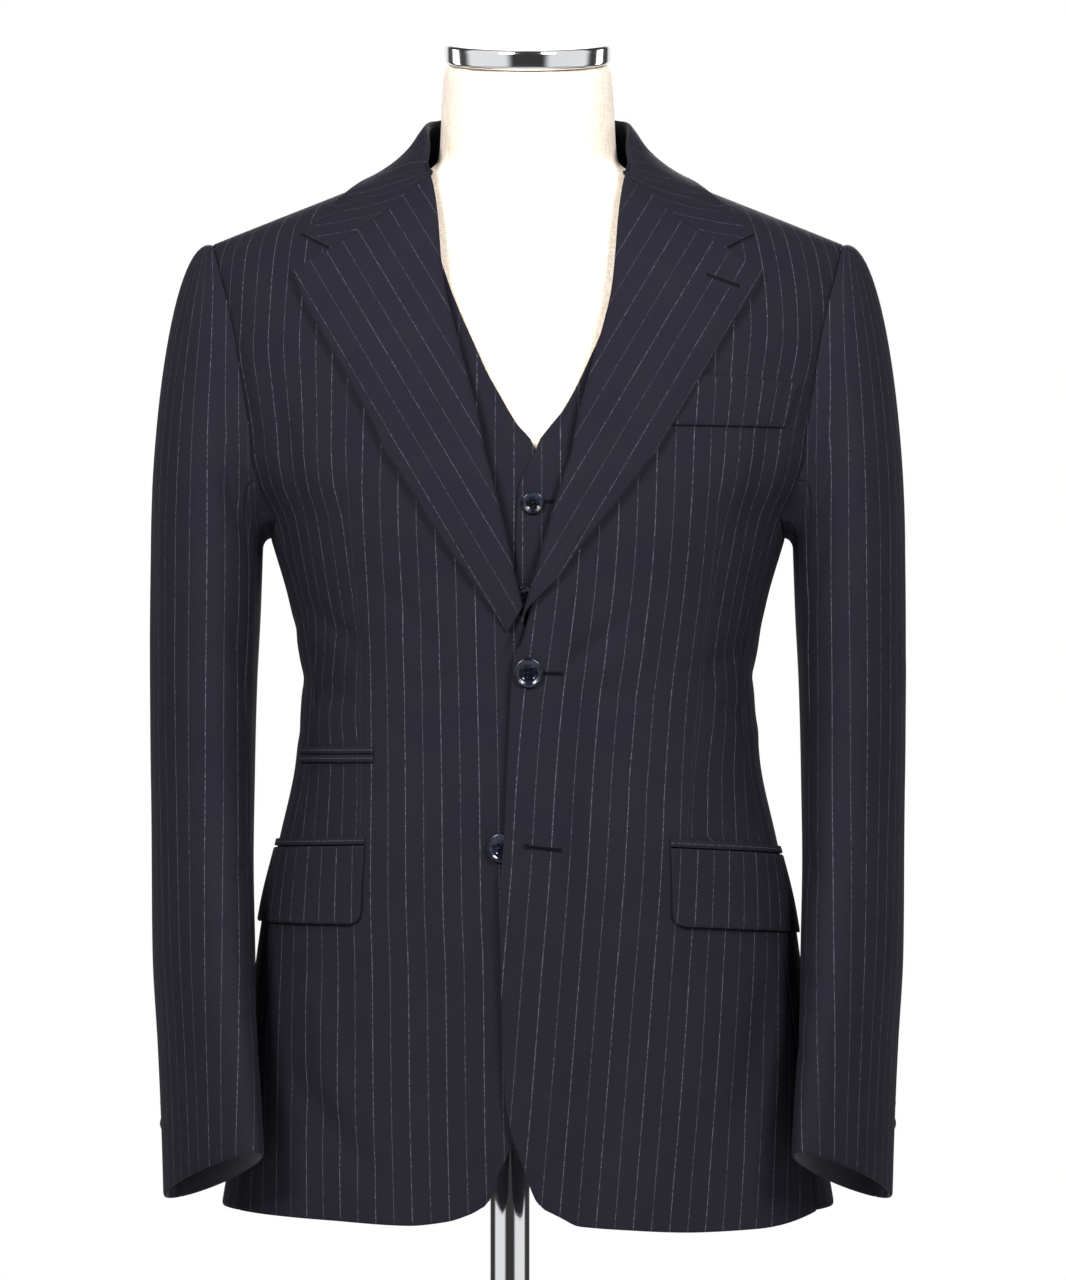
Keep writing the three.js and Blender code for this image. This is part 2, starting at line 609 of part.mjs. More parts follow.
// Lifts a point of the leaf that would sink into the shoulder.
function restOnShoulder(place) {
  const floor = jacketBody.shoulderHeight(place.x, place.y) + COLLAR_OUT;
  const { radius, depth } = SHOULDER_REGION;
  const rests = Math.hypot(place.x, place.y) > radius && Math.abs(place.y) < depth;
  return rests ? place.setZ(Math.max(place.z, floor)) : place;
}

add('jacket_collar', collar(), worsted);

// ---- Sleeves ----

// The armhole runs down the front from the shoulder point, under the arm and up the back.
// Its stations are the rows and columns of the panels that meet it.
const ARMHOLE_STATIONS = 2 * ROWS_ABOVE + SIDE_COLUMNS;
const ARMHOLE_GAP = 0.5;

function armholeSpot(station) {
  if (station <= ROWS_ABOVE) {
    const rise = rowRise(ROWS_BELOW + ROWS_ABOVE - station, HEM);
    return { angle: jacketBody.moveRound(radians(frontSeamAngle(rise)), rise, ARMHOLE_GAP), rise };
  }
  if (station < ROWS_ABOVE + SIDE_COLUMNS) {
    const share = (station - ROWS_ABOVE) / SIDE_COLUMNS;
    const rise = underarmRise(share) + ARMHOLE_GAP;
    return { angle: radians(mix(frontSeamAngle(rise), backSeamAngle(rise), share)), rise };
  }
  const rise = rowRise(ROWS_BELOW + station - ROWS_ABOVE - SIDE_COLUMNS, HEM);
  return { angle: jacketBody.moveRound(radians(backSeamAngle(rise)), rise, -ARMHOLE_GAP), rise };
}

// Sections of the sleeve below the armhole: centre, half length and half width, the turn of
// the long way from the side, and how much higher its front lies than its back.
const sleeveSections = [
  { z: 1195, x: 223, y: 0, long: 68, short: 39, turn: 85, tilt: 0 },
  { z: 1155, x: 224, y: 1, long: 67, short: 38.5, turn: 84, tilt: 1 },
  { z: 1100, x: 225.5, y: 3, long: 66, short: 37, turn: 82, tilt: 3 },
  { z: 1040, x: 226, y: 3, long: 66, short: 35.5, turn: 79, tilt: 6 },
  { z: 980, x: 225.5, y: -8, long: 66, short: 33.5, turn: 75, tilt: 9 },
  { z: 920, x: 224, y: -20, long: 65.5, short: 32, turn: 71, tilt: 12 },
  { z: 860, x: 221, y: -32, long: 64.5, short: 28, turn: 67, tilt: 15 },
  { z: 805, x: 217.5, y: -42, long: 63, short: 24.5, turn: 62, tilt: 18 },
  { z: 766, x: 215.5, y: -49, long: 62, short: 22, turn: 59, tilt: 21 },
];
const SLEEVE_HEAD_STEPS = [0, 0.07, 0.2, 0.38, 0.58, 0.79];
const HEAD_REACH = 26;       // how far the sleeve head swells out beyond the shoulder point
const HEAD_RISE = 7;         // and how far it rises before it turns down
const HEAD_LEAVE = 0.3;      // how strongly its curve leaves the armhole, and how it settles
const HEAD_SETTLE = 0.42;    // into the arm, as shares of the drop

function sleeveRing(section, station) {
  const around = Math.PI / 2 - 2 * Math.PI * station / ARMHOLE_STATIONS;
  const turn = radians(section.turn);
  const forward = section.long * Math.cos(around);
  const outward = section.short * Math.sin(around);
  return new THREE.Vector3(
    section.x - forward * Math.cos(turn) + outward * Math.sin(turn),
    section.y - forward * Math.sin(turn) - outward * Math.cos(turn),
    section.z + section.tilt * Math.cos(around),
  );
}

// The line down the sleeve from one station of the armhole to the cuff.
function sleeveLine(station) {
  const { angle, rise } = armholeSpot(station);
  const start = jacketBody.point(angle, rise);
  const ring = sleeveRing(sleeveSections[0], station);
  const drop = start.distanceTo(ring);
  const overArm = Math.max(0, Math.cos(2 * Math.PI * station / ARMHOLE_STATIONS));
  const leave = start.clone();
  leave.x += Math.min(HEAD_LEAVE * drop, HEAD_REACH);
  leave.z += HEAD_RISE * overArm ** 2;
  const settle = ring.clone();
  settle.z += HEAD_SETTLE * drop;
  const head = new THREE.CubicBezierCurve3(start, leave, settle, ring);
  return [
    ...SLEEVE_HEAD_STEPS.map((t) => head.getPoint(t)),
    ...sleeveSections.map((section) => sleeveRing(section, station)),
  ];
}

// The whole tube as a grid of stations, and the same grid one cloth thickness inside it.
function sleeveGrids() {
  const outer = Array.from({ length: ARMHOLE_STATIONS }, (_, k) => sleeveLine(k));
  const inner = outer.map((line, k) => line.map((p, j) => {
    const next = outer[(k + 1) % ARMHOLE_STATIONS];
    const before = outer[(k + ARMHOLE_STATIONS - 1) % ARMHOLE_STATIONS];
    const down = line[Math.min(j + 1, line.length - 1)].clone().sub(line[Math.max(j - 1, 0)]);
    const across = next[j].clone().sub(before[j]);
    const spot = armholeSpot(k);
    const inward = j === 0
      ? jacketBody.normal(spot.angle, spot.rise).negate()
      : down.cross(across).normalize();
    return p.clone().addScaledVector(inward, CLOTH);
  }));
  return { outer, inner };
}

// A sleeve piece covers the stations from first to last. Its two long edges are drawn in
// by half a seam gap.
function sleevePiece(side, first, last) {
  const { outer, inner } = sleeveGrids();
  const line = (grid, k) => grid[((k % ARMHOLE_STATIONS) + ARMHOLE_STATIONS) % ARMHOLE_STATIONS];
  const strip = (grid) => {
    const lines = [];
    for (let k = first; k <= last; k += 1) {
      const neighbour = k === first ? k + 1 : k === last ? k - 1 : k;
      lines.push(line(grid, k).map((p, j) => {
        const toward = line(grid, neighbour)[j].clone().sub(p);
        const length = toward.length();
        return length > 0 ? p.clone().addScaledVector(toward, SEAM / 2 / length) : p.clone();
      }));
    }
    return lines.map((points) => points.map((p) => new THREE.Vector3(side * p.x, p.y, p.z)));
  };
  return wall(strip(outer), strip(inner));
}

// The under sleeve runs between the front seam, a little inside the arm, and the elbow seam.
const FOREARM_SEAM = 9;
const ELBOW_SEAM = 17;

for (const [name, side] of [['left', 1], ['right', -1]]) {
  add(`sleeve_top_${name}`, sleevePiece(side, ELBOW_SEAM - ARMHOLE_STATIONS, FOREARM_SEAM), worsted);
  add(`sleeve_under_${name}`, sleevePiece(side, FOREARM_SEAM, ELBOW_SEAM), worsted);
}

// ---- Pockets ----

// Each piece is laid on a front between four corners: angle and rise of its front and back
// ends, at its top and its bottom. The flaps reach back over the side panels.
const TRIM_CLOTH = 1.4;
const FLAP = { length: 150, depth: 53, corner: 9, rows: 4, crowding: 1.5 };
const laidPieces = [
  { name: 'hip_flap_right', side: -1, columns: 12, corner: FLAP.corner,
    top: { from: 37.4, fromRise: 994, to: 89, toRise: 989 },
    bottom: { from: 35, fromRise: 941, to: 90, toRise: 938 } },
  { name: 'hip_jet_right', side: -1, columns: 10, corner: 0,
    top: { from: 37.8, fromRise: 1000, to: 89, toRise: 995 },
    bottom: { from: 37.6, fromRise: 995, to: 89, toRise: 990 } },
  { name: 'hip_flap_left', side: 1, columns: 12, corner: FLAP.corner,
    top: { from: 31.5, fromRise: 992.5, to: 84, toRise: 984 },
    bottom: { from: 29.2, fromRise: 940, to: 84.5, toRise: 930 } },
  { name: 'hip_jet_left', side: 1, columns: 10, corner: 0,
    top: { from: 31.8, fromRise: 998.5, to: 84, toRise: 990 },
    bottom: { from: 31.6, fromRise: 993.5, to: 84, toRise: 985 } },
  { name: 'ticket_jet_upper', side: -1, columns: 8, corner: 0,
    top: { from: 38.6, fromRise: 1061, to: 75, toRise: 1059.5 },
    bottom: { from: 38.4, fromRise: 1056.3, to: 75, toRise: 1054.8 } },
  { name: 'ticket_jet_lower', side: -1, columns: 8, corner: 0,
    top: { from: 38.4, fromRise: 1055.5, to: 75, toRise: 1054 },
    bottom: { from: 38.3, fromRise: 1050.5, to: 75, toRise: 1049 } },
  { name: 'breast_welt', side: 1, columns: 6, corner: 0,
    top: { from: 30.4, fromRise: 1288, to: 54, toRise: 1290.5 },
    bottom: { from: 25.1, fromRise: 1267, to: 51.6, toRise: 1268.5 } },
];

// How much of a flap's depth its rounded lower corner takes away, at a share of its length.
function cornerCut(corner, share) {
  if (corner === 0) return 0;
  const round = Math.max(corner - FLAP.length * share, 0) / corner;
  return corner / FLAP.depth * (1 - Math.sqrt(1 - round ** 2));
}

function laidPiece({ side, columns, corner, top, bottom }) {
  const rows = corner > 0 ? FLAP.rows : 1;
  const crowding = corner > 0 ? FLAP.crowding : 1;
  return bodyPanel(jacketBody, columns, rows, TRIM_CLOTH, (i, j) => {
    const share = (i / columns) ** crowding;
    const height = mix(cornerCut(corner, share), 1, j / rows);
    const along = (edge) => ({
      angle: mix(edge.from, edge.to, share),
      rise: mix(edge.fromRise, edge.toRise, share),
    });
    const [low, high] = [along(bottom), along(top)];
    return {
      angle: side * radians(mix(low.angle, high.angle, height)),
      rise: mix(low.rise, high.rise, height),
      out: LAY + TRIM_CLOTH,
    };
  });
}

for (const piece of laidPieces) {
  add(piece.name, laidPiece(piece), worstedTrim);
}

// ---- Buttons ----

const FRONT_BUTTON = { radius: 10, height: 2.6 };
const WAISTCOAT_BUTTON = { radius: 7.5, height: 2.4 };
const SLEEVE_BUTTON = { radius: 6.7, height: 2.2 };
const BUTTON_SEAT = 0.35;

// A turned button: a flat back, a rounded rim and a sunk middle.
function buttonShape({ radius, height }) {
  const profile = [[0, 0], [0.8, 0], [1, 0.45], [0.92, 1], [0.74, 0.78], [0, 0.66]];
  const points = profile.map(([r, h]) => new THREE.Vector2(r * radius, h * height));
  return new THREE.LatheGeometry(points, 12).rotateX(Math.PI / 2);
}

function addButton(name, size, place, normal) {
  const mesh = add(name, buttonShape(size), buttonHorn);
  mesh.position.copy(place).addScaledVector(normal, BUTTON_SEAT);
  mesh.quaternion.setFromUnitVectors(new THREE.Vector3(0, 0, 1), normal);
}

function addButtonOnBody(name, size, x, rise, out) {
  const angle = jacketBody.angleAt(x, rise);
  addButton(name, size, jacketBody.point(angle, rise, out), jacketBody.normal(angle, rise));
}

addButtonOnBody('jacket_button_upper', FRONT_BUTTON, 0.5, 1111.5, LAP_LIFT + BUTTON_SEAT);
addButtonOnBody('jacket_button_lower', FRONT_BUTTON, -17.4, 993.5, 0);

// Four buttons stand in a row up the back edge of each cuff.
const CUFF_BUTTONS = 4;
const CUFF_BUTTON_LOWEST = 796;
const CUFF_BUTTON_STEP = 13.9;
const CUFF_BUTTON_STATION = 18.6;
const CUFF_BUTTON_LIFT = 0.5;

function sleevePoint(station, z) {
  const below = Math.floor(station);
  const line = (k) => sleeveLine(k % ARMHOLE_STATIONS);
  const points = line(below).map((p, j) => p.clone().lerp(line(below + 1)[j], station - below));
  let j = points.length - 2;
  while (j > 0 && points[j].z < z) j -= 1;
  const span = points[j].z - points[j + 1].z;
  return points[j].clone().lerp(points[j + 1], (points[j].z - z) / span);
}

// The place and the normal of a cuff button at a height, on the left sleeve.
function cuffButtonSeat(z) {
  const [before, after] = [CUFF_BUTTON_STATION - 0.4, CUFF_BUTTON_STATION + 0.4];
  const across = sleevePoint(after, z).sub(sleevePoint(before, z));
  const down = sleevePoint(CUFF_BUTTON_STATION, z - 10).sub(sleevePoint(CUFF_BUTTON_STATION, z + 10));
  const normal = across.cross(down).normalize();
  const place = sleevePoint(CUFF_BUTTON_STATION, z).addScaledVector(normal, CUFF_BUTTON_LIFT);
  return { place, normal };
}

for (const [name, side] of [['left', 1], ['right', -1]]) {
  for (let k = 0; k < CUFF_BUTTONS; k += 1) {
    const { place, normal } = cuffButtonSeat(CUFF_BUTTON_LOWEST + k * CUFF_BUTTON_STEP);
    const mirror = new THREE.Vector3(side, 1, 1);
    place.multiply(mirror);
    normal.multiply(mirror);
    addButton(`cuff_button_${name}_${k + 1}`, SLEEVE_BUTTON, place, normal);
  }
}

// ---- Waistcoat ----

// It follows the same body further in: close under the jacket at the shoulder line, and
// with room between them over the chest.
const WAISTCOAT_DEPTH = { shoulder: 2.6, chest: 9 };
const WAISTCOAT_ROWS_BELOW = 6;
const WAISTCOAT_LAP = 2.4;   // the left front lies this far out where it laps the right
const WAISTCOAT_LAP_FADE = { full: 14, none: 40, below: 1262, above: 1300 };
const WAISTCOAT_REACH = { hem: 170, chest: 120 };  // from the edge to the side seam
const WAISTCOAT_FRONT = { columns: 7, crowding: 1.2, hemStart: 955 };
const WAISTCOAT_BACK = { columns: 14, hem: 968, neck: 1374, neckPoint: 90, neckCurve: 2.2 };
const waistcoatEdges = {
  right: [
    { rise: 940, across: -12 }, { rise: 1240, across: -13 }, { rise: 1256, across: -8 },
    { rise: 1261, across: -4 }, { rise: 1266, across: 7.5 }, { rise: 1275, across: 18.7 },
    { rise: 1286, across: 29.5 }, { rise: 1330, across: 55 }, { rise: 1400, across: 75 },
    { rise: 1480, across: 90 },
  ],
  left: [
    { rise: 940, across: -8.4 }, { rise: 1185, across: -8.3 }, { rise: 1212, across: -7.6 },
    { rise: 1233, across: -6.6 }, { rise: 1246, across: -2 }, { rise: 1260, across: 5.5 },
    { rise: 1270, across: 23.6 }, { rise: 1285, across: 38.4 }, { rise: 1315, across: 56 },
    { rise: 1400, across: 76 }, { rise: 1480, across: 90 },
  ],
};
const waistcoatHem = [
  { across: -12, rise: 958 }, { across: 12, rise: 941 }, { across: 38, rise: 925 },
  { across: 70, rise: 935 }, { across: 120, rise: 960 }, { across: 170, rise: 980 },
];
// Angles of the waistcoat's outer edges, up the side seam and round its armholes, from the
// front centre and from the back centre.
const waistcoatArmhole = [
  { rise: 900, front: 89.9, back: 89.9 }, { rise: 1155, front: 89.9, back: 89.9 },
  { rise: 1180, front: 83, back: 85 }, { rise: ARMPIT, front: 67, back: 71 },
  { rise: 1270, front: 46, back: 54 }, { rise: 1330, front: 38.5, back: 44.5 },
  { rise: 1400, front: 34.5, back: 37.5 }, { rise: 1480, front: 30, back: 30 },
];
const frontArmhole = tableCurve(waistcoatArmhole, 'rise', 'front');
const backArmhole = tableCurve(waistcoatArmhole, 'rise', 'back');

function waistcoatOut(rise) {
  const turn = THREE.MathUtils.clamp((rise - CHEST_TOP) / SHOULDER_ARC, 0, Math.PI / 2);
  return -mix(WAISTCOAT_DEPTH.shoulder, WAISTCOAT_DEPTH.chest, Math.cos(turn));
}

function waistcoatLap(across, rise) {
  const { full, none, below, above } = WAISTCOAT_LAP_FADE;
  return WAISTCOAT_LAP * fadeOut(across, full, none) * fadeOut(rise, below, above);
}

function waistcoatFront(name) {
  const side = name === 'left' ? 1 : -1;
  const { columns, crowding, hemStart } = WAISTCOAT_FRONT;
  const rows = WAISTCOAT_ROWS_BELOW + ROWS_ABOVE;
  const edgeLine = tableCurve(waistcoatEdges[name], 'rise', 'across');
  const hem = tableCurve(waistcoatHem, 'across', 'rise');
  const start = edgeLine(hemStart);
  return bodyPanel(jacketBody, columns, rows, WAISTCOAT_CLOTH, (i, j) => {
    const share = (i / columns) ** crowding;
    const hemRise = hem(mix(start, WAISTCOAT_REACH.hem, share));
    const rise = rowRise(j, hemRise, TOP, WAISTCOAT_ROWS_BELOW);
    const edge = jacketBody.angleAt(edgeLine(rise), rise);
    const outside = jacketBody.moveRound(radians(frontArmhole(rise)), rise, -SEAM / 2);
    const across = edgeLine(rise) + share * WAISTCOAT_REACH.chest;
    const lift = side > 0 ? waistcoatLap(across, rise) : 0;
    return { angle: side * mix(edge, outside, share), rise, out: waistcoatOut(rise) + lift };
  });
}

function waistcoatBack() {
  const { columns, hem, neck, neckPoint, neckCurve } = WAISTCOAT_BACK;
  const rows = WAISTCOAT_ROWS_BELOW + ROWS_ABOVE;
  return bodyPanel(jacketBody, columns, rows, WAISTCOAT_CLOTH, (i, j) => {
    const share = 2 * i / columns - 1;
    const level = rowRise(j, hem, TOP, WAISTCOAT_ROWS_BELOW);
    const across = jacketBody.acrossAt(Math.abs(share) * radians(backArmhole(level)), TOP);
    const top = mix(neck, TOP - SHOULDER_GAP, Math.min(across / neckPoint, 1) ** neckCurve);
    const rise = rowRise(j, hem, top, WAISTCOAT_ROWS_BELOW);
    const outside = jacketBody.moveRound(radians(backArmhole(rise)), rise, -SEAM / 2);
    return { angle: Math.PI + share * outside, rise, out: waistcoatOut(rise) };
  });
}

add('waistcoat_front_left', waistcoatFront('left'), worsted);
add('waistcoat_front_right', waistcoatFront('right'), worsted);
add('waistcoat_back', waistcoatBack(), worsted);

const waistcoatButtons = [
  { x: 3.5, rise: 1225 }, { x: -1.2, rise: 1162 }, { x: -1.5, rise: 1100 },
  { x: -1.5, rise: 1038 }, { x: -1.5, rise: 976 },
];
waistcoatButtons.forEach(({ x, rise }, k) => {
  const out = waistcoatOut(rise) + WAISTCOAT_LAP;
  addButtonOnBody(`waistcoat_button_${k + 1}`, WAISTCOAT_BUTTON, x, rise, out);
});

// ---- Dress form ----

const FORM_INSET = 14.5;     // how far the form lies inside the jacket's face, front and back
const FORM_SIDE_INSET = 18;  // and at its sides
const FORM_HALF = 176;       // its greatest half width, at the hips and the shoulder ends
const FORM_BOTTOM = 850;
const FORM_DROP = 6.8;       // its shoulder line lies this far under the jacket's
const FORM_AROUND = 28;
const FORM_CLOSE = 4;        // the torso's last ring lies this far short of the shoulder line
const NECK = { y: 6, z: 1440, tilt: 12, length: 94 };

const formBody = makeBody(
  bodySections.map((row) => ({
    rise: row.rise,
    half: Math.min(row.half - FORM_SIDE_INSET, FORM_HALF),
    front: row.front - FORM_INSET,
    back: row.back - FORM_INSET,
    shift: row.shift,
  })),
  { ...SHOULDER, height: SHOULDER.height - FORM_DROP },
);

// A closed torso: rings up to the shoulder line, a flat floor, and a narrow strip that
// joins the front to the back along the top.
function torso() {
  const around = FORM_AROUND;
  const rises = [FORM_BOTTOM, 900, 950, 1000, 1050, 1105, 1160];
  for (let row = 0; row <= ROWS_ABOVE; row += 1) {
    rises.push(mix(ARMPIT, TOP - FORM_CLOSE, row / ROWS_ABOVE));
  }
  const positions = [];
  const index = [];
  for (const rise of rises) {
    for (let k = 0; k < around; k += 1) {
      positions.push(...formBody.point(2 * Math.PI * k / around, rise).toArray());
    }
  }
  for (let row = 0; row + 1 < rises.length; row += 1) {
    for (let k = 0; k < around; k += 1) {
      const next = (k + 1) % around;
      const a = row * around + k;
      const b = row * around + next;
      index.push(a, b, b + around, a, b + around, a + around);
    }
  }
  const lid = (first, upwards) => {
    const across = (k) => first + ((around / 2 - k + around) % around);
    const side = (k) => first + ((k + around) % around);
    for (let k = -around / 4; k < around / 4; k += 1) {
      const quad = [side(k), side(k + 1), across(k + 1), across(k)];
      const corners = quad.filter((corner, i) => quad.indexOf(corner) === i);
      if (!upwards) corners.reverse();
      index.push(corners[0], corners[1], corners[2]);
      if (corners.length === 4) index.push(corners[0], corners[2], corners[3]);
    }
  };
  lid(0, false);
  lid((rises.length - 1) * around, true);
  return facingOut(positions, index);
}

// A turned shape standing on +Z, from pairs of radius and height.
function turned(profile, segments) {
  const points = profile.map(([radius, height]) => new THREE.Vector2(radius, height));
  return new THREE.LatheGeometry(points, segments).rotateX(Math.PI / 2);
}

function toSolid(geometry) {
  const bare = geometry.clone();
  for (const name of Object.keys(bare.attributes)) {
    if (name !== 'position') bare.deleteAttribute(name);
  }
  const merged = mergeVertices(bare, 1e-3);
  const corners = merged.index.array;
  const whole = [];
  for (let i = 0; i < corners.length; i += 3) {
    const [a, b, c] = corners.slice(i, i + 3);
    if (a !== b && b !== c && c !== a) whole.push(a, b, c);
  }
  const positions = Array.from(merged.attributes.position.array);
  const facing = facingOut(positions, whole);
  return new wasm.Manifold(new wasm.Mesh({
    numProp: 3,
    vertProperties: new Float32Array(facing.attributes.position.array),
    triVerts: new Uint32Array(facing.index.array),
  }));
}

function fromSolid(solid) {
  const { vertProperties, triVerts } = solid.getMesh();
  const geometry = new THREE.BufferGeometry();
  geometry.setAttribute('position', new THREE.BufferAttribute(vertProperties, 3));
  geometry.setIndex(new THREE.BufferAttribute(triVerts, 1));
  geometry.computeVertexNormals();
  return geometry;
}

// Turns a shape to the neck's lean and sets it that far up the neck.
function onNeck(geometry, height) {
  return geometry
    .translate(0, 0, height)
    .rotateX(radians(NECK.tilt))
    .translate(0, NECK.y, NECK.z);
}

const neckShape = onNeck(turned([
  [0, -42], [67, -42], [65.5, -8], [63, 16], [61, 40], [60, 62], [58.5, 84],
  [58, NECK.length], [0, NECK.length],
], 32), 0);
add('form_torso', fromSolid(toSolid(torso()).add(toSolid(neckShape))), linen);

const capShape = turned([
  [0, 0], [56, 0], [57.5, 1.4], [57.5, 11.6], [56.2, 13.8], [42, 15], [0, 15.6],
], 28);
add('form_neck_cap', onNeck(capShape, NECK.length + SEAM), chrome);

// ---- Stand ----

// The socket under the torso is a sleeve round the head of the pole.
const BASE_TOP = 18;
const SOCKET = { bore: POLE.radius + SEAM, bottom: 828, top: FORM_BOTTOM - SEAM };
const POLE_TOP = FORM_BOTTOM - 2 * SEAM;
const stand = [
  ['stand_socket', turned([
    [SOCKET.bore, SOCKET.bottom], [24, SOCKET.bottom], [26, 832], [26, 842], [34, 846],
    [34, SOCKET.top], [SOCKET.bore, SOCKET.top], [SOCKET.bore, SOCKET.bottom],
  ], 24)],
  ['stand_pole', turned([
    [0, BASE_TOP + SEAM], [POLE.radius, BASE_TOP + SEAM], [POLE.radius, POLE_TOP], [0, POLE_TOP],
  ], 24)],
  ['stand_base', turned([
    [0, 0], [BASE_RADIUS - 1, 0], [BASE_RADIUS, 1], [BASE_RADIUS, 5], [BASE_RADIUS - 4, 8],
    [70, 12], [30, 15], [24, BASE_TOP], [0, BASE_TOP],
  ], 36)],
];
for (const [name, shape] of stand) {
  add(name, shape, chrome).position.set(POLE.x, 0, 0);
}

export default suit;
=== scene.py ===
# The looks of a pinstriped jacket over its waistcoat, worn by a limbless dress form.
# Each piece of cloth is a thin shell on the same figure as the solids, with its own creases,
# turned edges, stripes that follow the cut, and hand stitching. Sizes are in millimetres and
# become metres when a mesh is made. The suit faces -Y and +X is the wearer's left.

import math

import bmesh
import bpy
import numpy as np
from mathutils import Matrix, Vector


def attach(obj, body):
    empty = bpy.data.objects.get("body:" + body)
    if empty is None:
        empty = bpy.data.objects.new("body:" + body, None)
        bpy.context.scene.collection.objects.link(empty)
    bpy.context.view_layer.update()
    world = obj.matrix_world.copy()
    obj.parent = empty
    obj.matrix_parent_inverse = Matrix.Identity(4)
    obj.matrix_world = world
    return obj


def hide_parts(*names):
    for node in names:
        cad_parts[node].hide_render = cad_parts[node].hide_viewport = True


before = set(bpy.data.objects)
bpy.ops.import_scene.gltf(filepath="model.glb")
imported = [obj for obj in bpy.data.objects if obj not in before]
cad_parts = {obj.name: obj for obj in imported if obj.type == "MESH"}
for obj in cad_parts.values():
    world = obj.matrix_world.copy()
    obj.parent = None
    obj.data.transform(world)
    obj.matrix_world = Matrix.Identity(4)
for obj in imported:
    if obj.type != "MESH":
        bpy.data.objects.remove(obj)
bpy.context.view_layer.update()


# ---- Base, pole and socket ----
# A heavy disc spun from plated steel, a chrome tube screwed into it, and the socket under
# the torso that slides over the tube's head. All three are turned shapes on one line.

POLE_X = -12.5
POLE_RADIUS = 14
SEAM = 0.3
FORM_BOTTOM = 850
BASE_TOP = 18


def wire(tree, kind, sockets=None, **settings):
    """Adds a node, with its settings, and values or links for its sockets."""
    node = tree.nodes.new(kind)
    for name, value in settings.items():
        setattr(node, name, value)
    for name, value in (sockets or {}).items():
        if isinstance(value, bpy.types.NodeSocket):
            tree.links.new(value, node.inputs[name])
        else:
            node.inputs[name].default_value = value
    return node


def maths(tree, operation, *values):
    """One Math node and its result."""
    return wire(tree, "ShaderNodeMath", dict(enumerate(values)), operation=operation).outputs[0]


def ramp(tree, value, low, high, to_low=0.0, to_high=1.0):
    """A value taken smoothly from one range to another."""
    sockets = {"Value": value, "From Min": low, "From Max": high,
               "To Min": to_low, "To Max": to_high}
    node = wire(tree, "ShaderNodeMapRange", sockets, interpolation_type="SMOOTHSTEP")
    return node.outputs["Result"]


def blended(tree, share, first, second):
    """Two colours mixed by a share."""
    node = wire(tree, "ShaderNodeMix", data_type="RGBA")
    for socket, value in ((node.inputs[0], share), (node.inputs[6], first), (node.inputs[7], second)):
        if isinstance(value, bpy.types.NodeSocket):
            tree.links.new(value, socket)
        else:
            socket.default_value = value
    return node.outputs[2]


def grain(tree, place, scale, detail=2.0, stretch=(1, 1, 1)):
    """Noise on a place, stretched along its axes."""
    mapped = wire(tree, "ShaderNodeMapping", {"Vector": place, "Scale": stretch}).outputs[0]
    sockets = {"Vector": mapped, "Scale": scale, "Detail": detail}
    return wire(tree, "ShaderNodeTexNoise", sockets).outputs[0]


def colour(red, green, blue):
    """A colour given as on a screen, from 0 to 255, in the light's own scale."""
    return (*[((c / 255 + 0.055) / 1.055) ** 2.4 if c > 10 else c / 3294 for c in (red, green, blue)], 1)


def new_finish(name, **settings):
    """A material with its shader, whose constants are given by socket name."""
    made = bpy.data.materials.new(name)
    made.use_nodes = True
    shader = made.node_tree.nodes["Principled BSDF"]
    for socket, value in settings.items():
        shader.inputs[socket.replace("_", " ")].default_value = value
    return made, made.node_tree, shader


def bumped(tree, shader, height, distance, strength=1.0):
    """Raises a shader's surface by a height from 0 to 1, over a distance in millimetres."""
    sockets = {"Height": height, "Distance": distance / 1000, "Strength": strength}
    tree.links.new(wire(tree, "ShaderNodeBump", sockets).outputs[0], shader.inputs["Normal"])


def plated_steel():
    """Polished plating with the faint lengthwise haze of wiping."""
    made, tree, shader = new_finish("plated_steel", Metallic=1.0)
    place = wire(tree, "ShaderNodeTexCoord").outputs["Object"]
    haze = grain(tree, place, 9.0, 3.0, (1, 1, 0.15))
    specks = grain(tree, place, 900.0, 1.0)
    tree.links.new(ramp(tree, haze, 0.35, 0.7, 0.05, 0.13), shader.inputs["Roughness"])
    tone = blended(tree, ramp(tree, haze, 0.3, 0.75), (0.66, 0.67, 0.69, 1), (0.8, 0.81, 0.82, 1))
    tree.links.new(tone, shader.inputs["Base Color"])
    bumped(tree, shader, specks, 0.01, 0.3)
    return made


def rounded(profile, radius=1.0, steps=5):
    """The outline with each inner corner turned into a short curve."""
    out = [profile[0]]
    for before, corner, after in zip(profile, profile[1:], profile[2:]):
        before, corner, after = (np.array(p, float) for p in (before, corner, after))
        reach = [min(radius, 0.45 * np.linalg.norm(p - corner)) for p in (before, after)]
        start = corner + (before - corner) / np.linalg.norm(before - corner) * reach[0]
        end = corner + (after - corner) / np.linalg.norm(after - corner) * reach[1]
        for t in np.linspace(0, 1, steps):
            out.append(tuple((1 - t) ** 2 * start + 2 * t * (1 - t) * corner + t * t * end))
    return [*out, profile[-1]]


def spun_points(profile, segments):
    """Points and faces of an outline of radius and height, turned about the upright line."""
    points, rings = [], []
    for radius, height in profile:
        if radius < 1e-6:
            rings.append([len(points)])
            points.append((0, 0, height))
            continue
        rings.append(list(range(len(points), len(points) + segments)))
        for k in range(segments):
            turn = 2 * math.pi * k / segments
            points.append((radius * math.cos(turn), radius * math.sin(turn), height))
    faces = []
    for low, high in zip(rings, rings[1:]):
        for k in range(segments):
            after = (k + 1) % segments
            ring = [low[k % len(low)], low[after % len(low)], high[after % len(high)], high[k % len(high)]]
            face = list(dict.fromkeys(ring))
            if len(face) > 2:
                faces.append(face)
    return np.array(points, float), faces


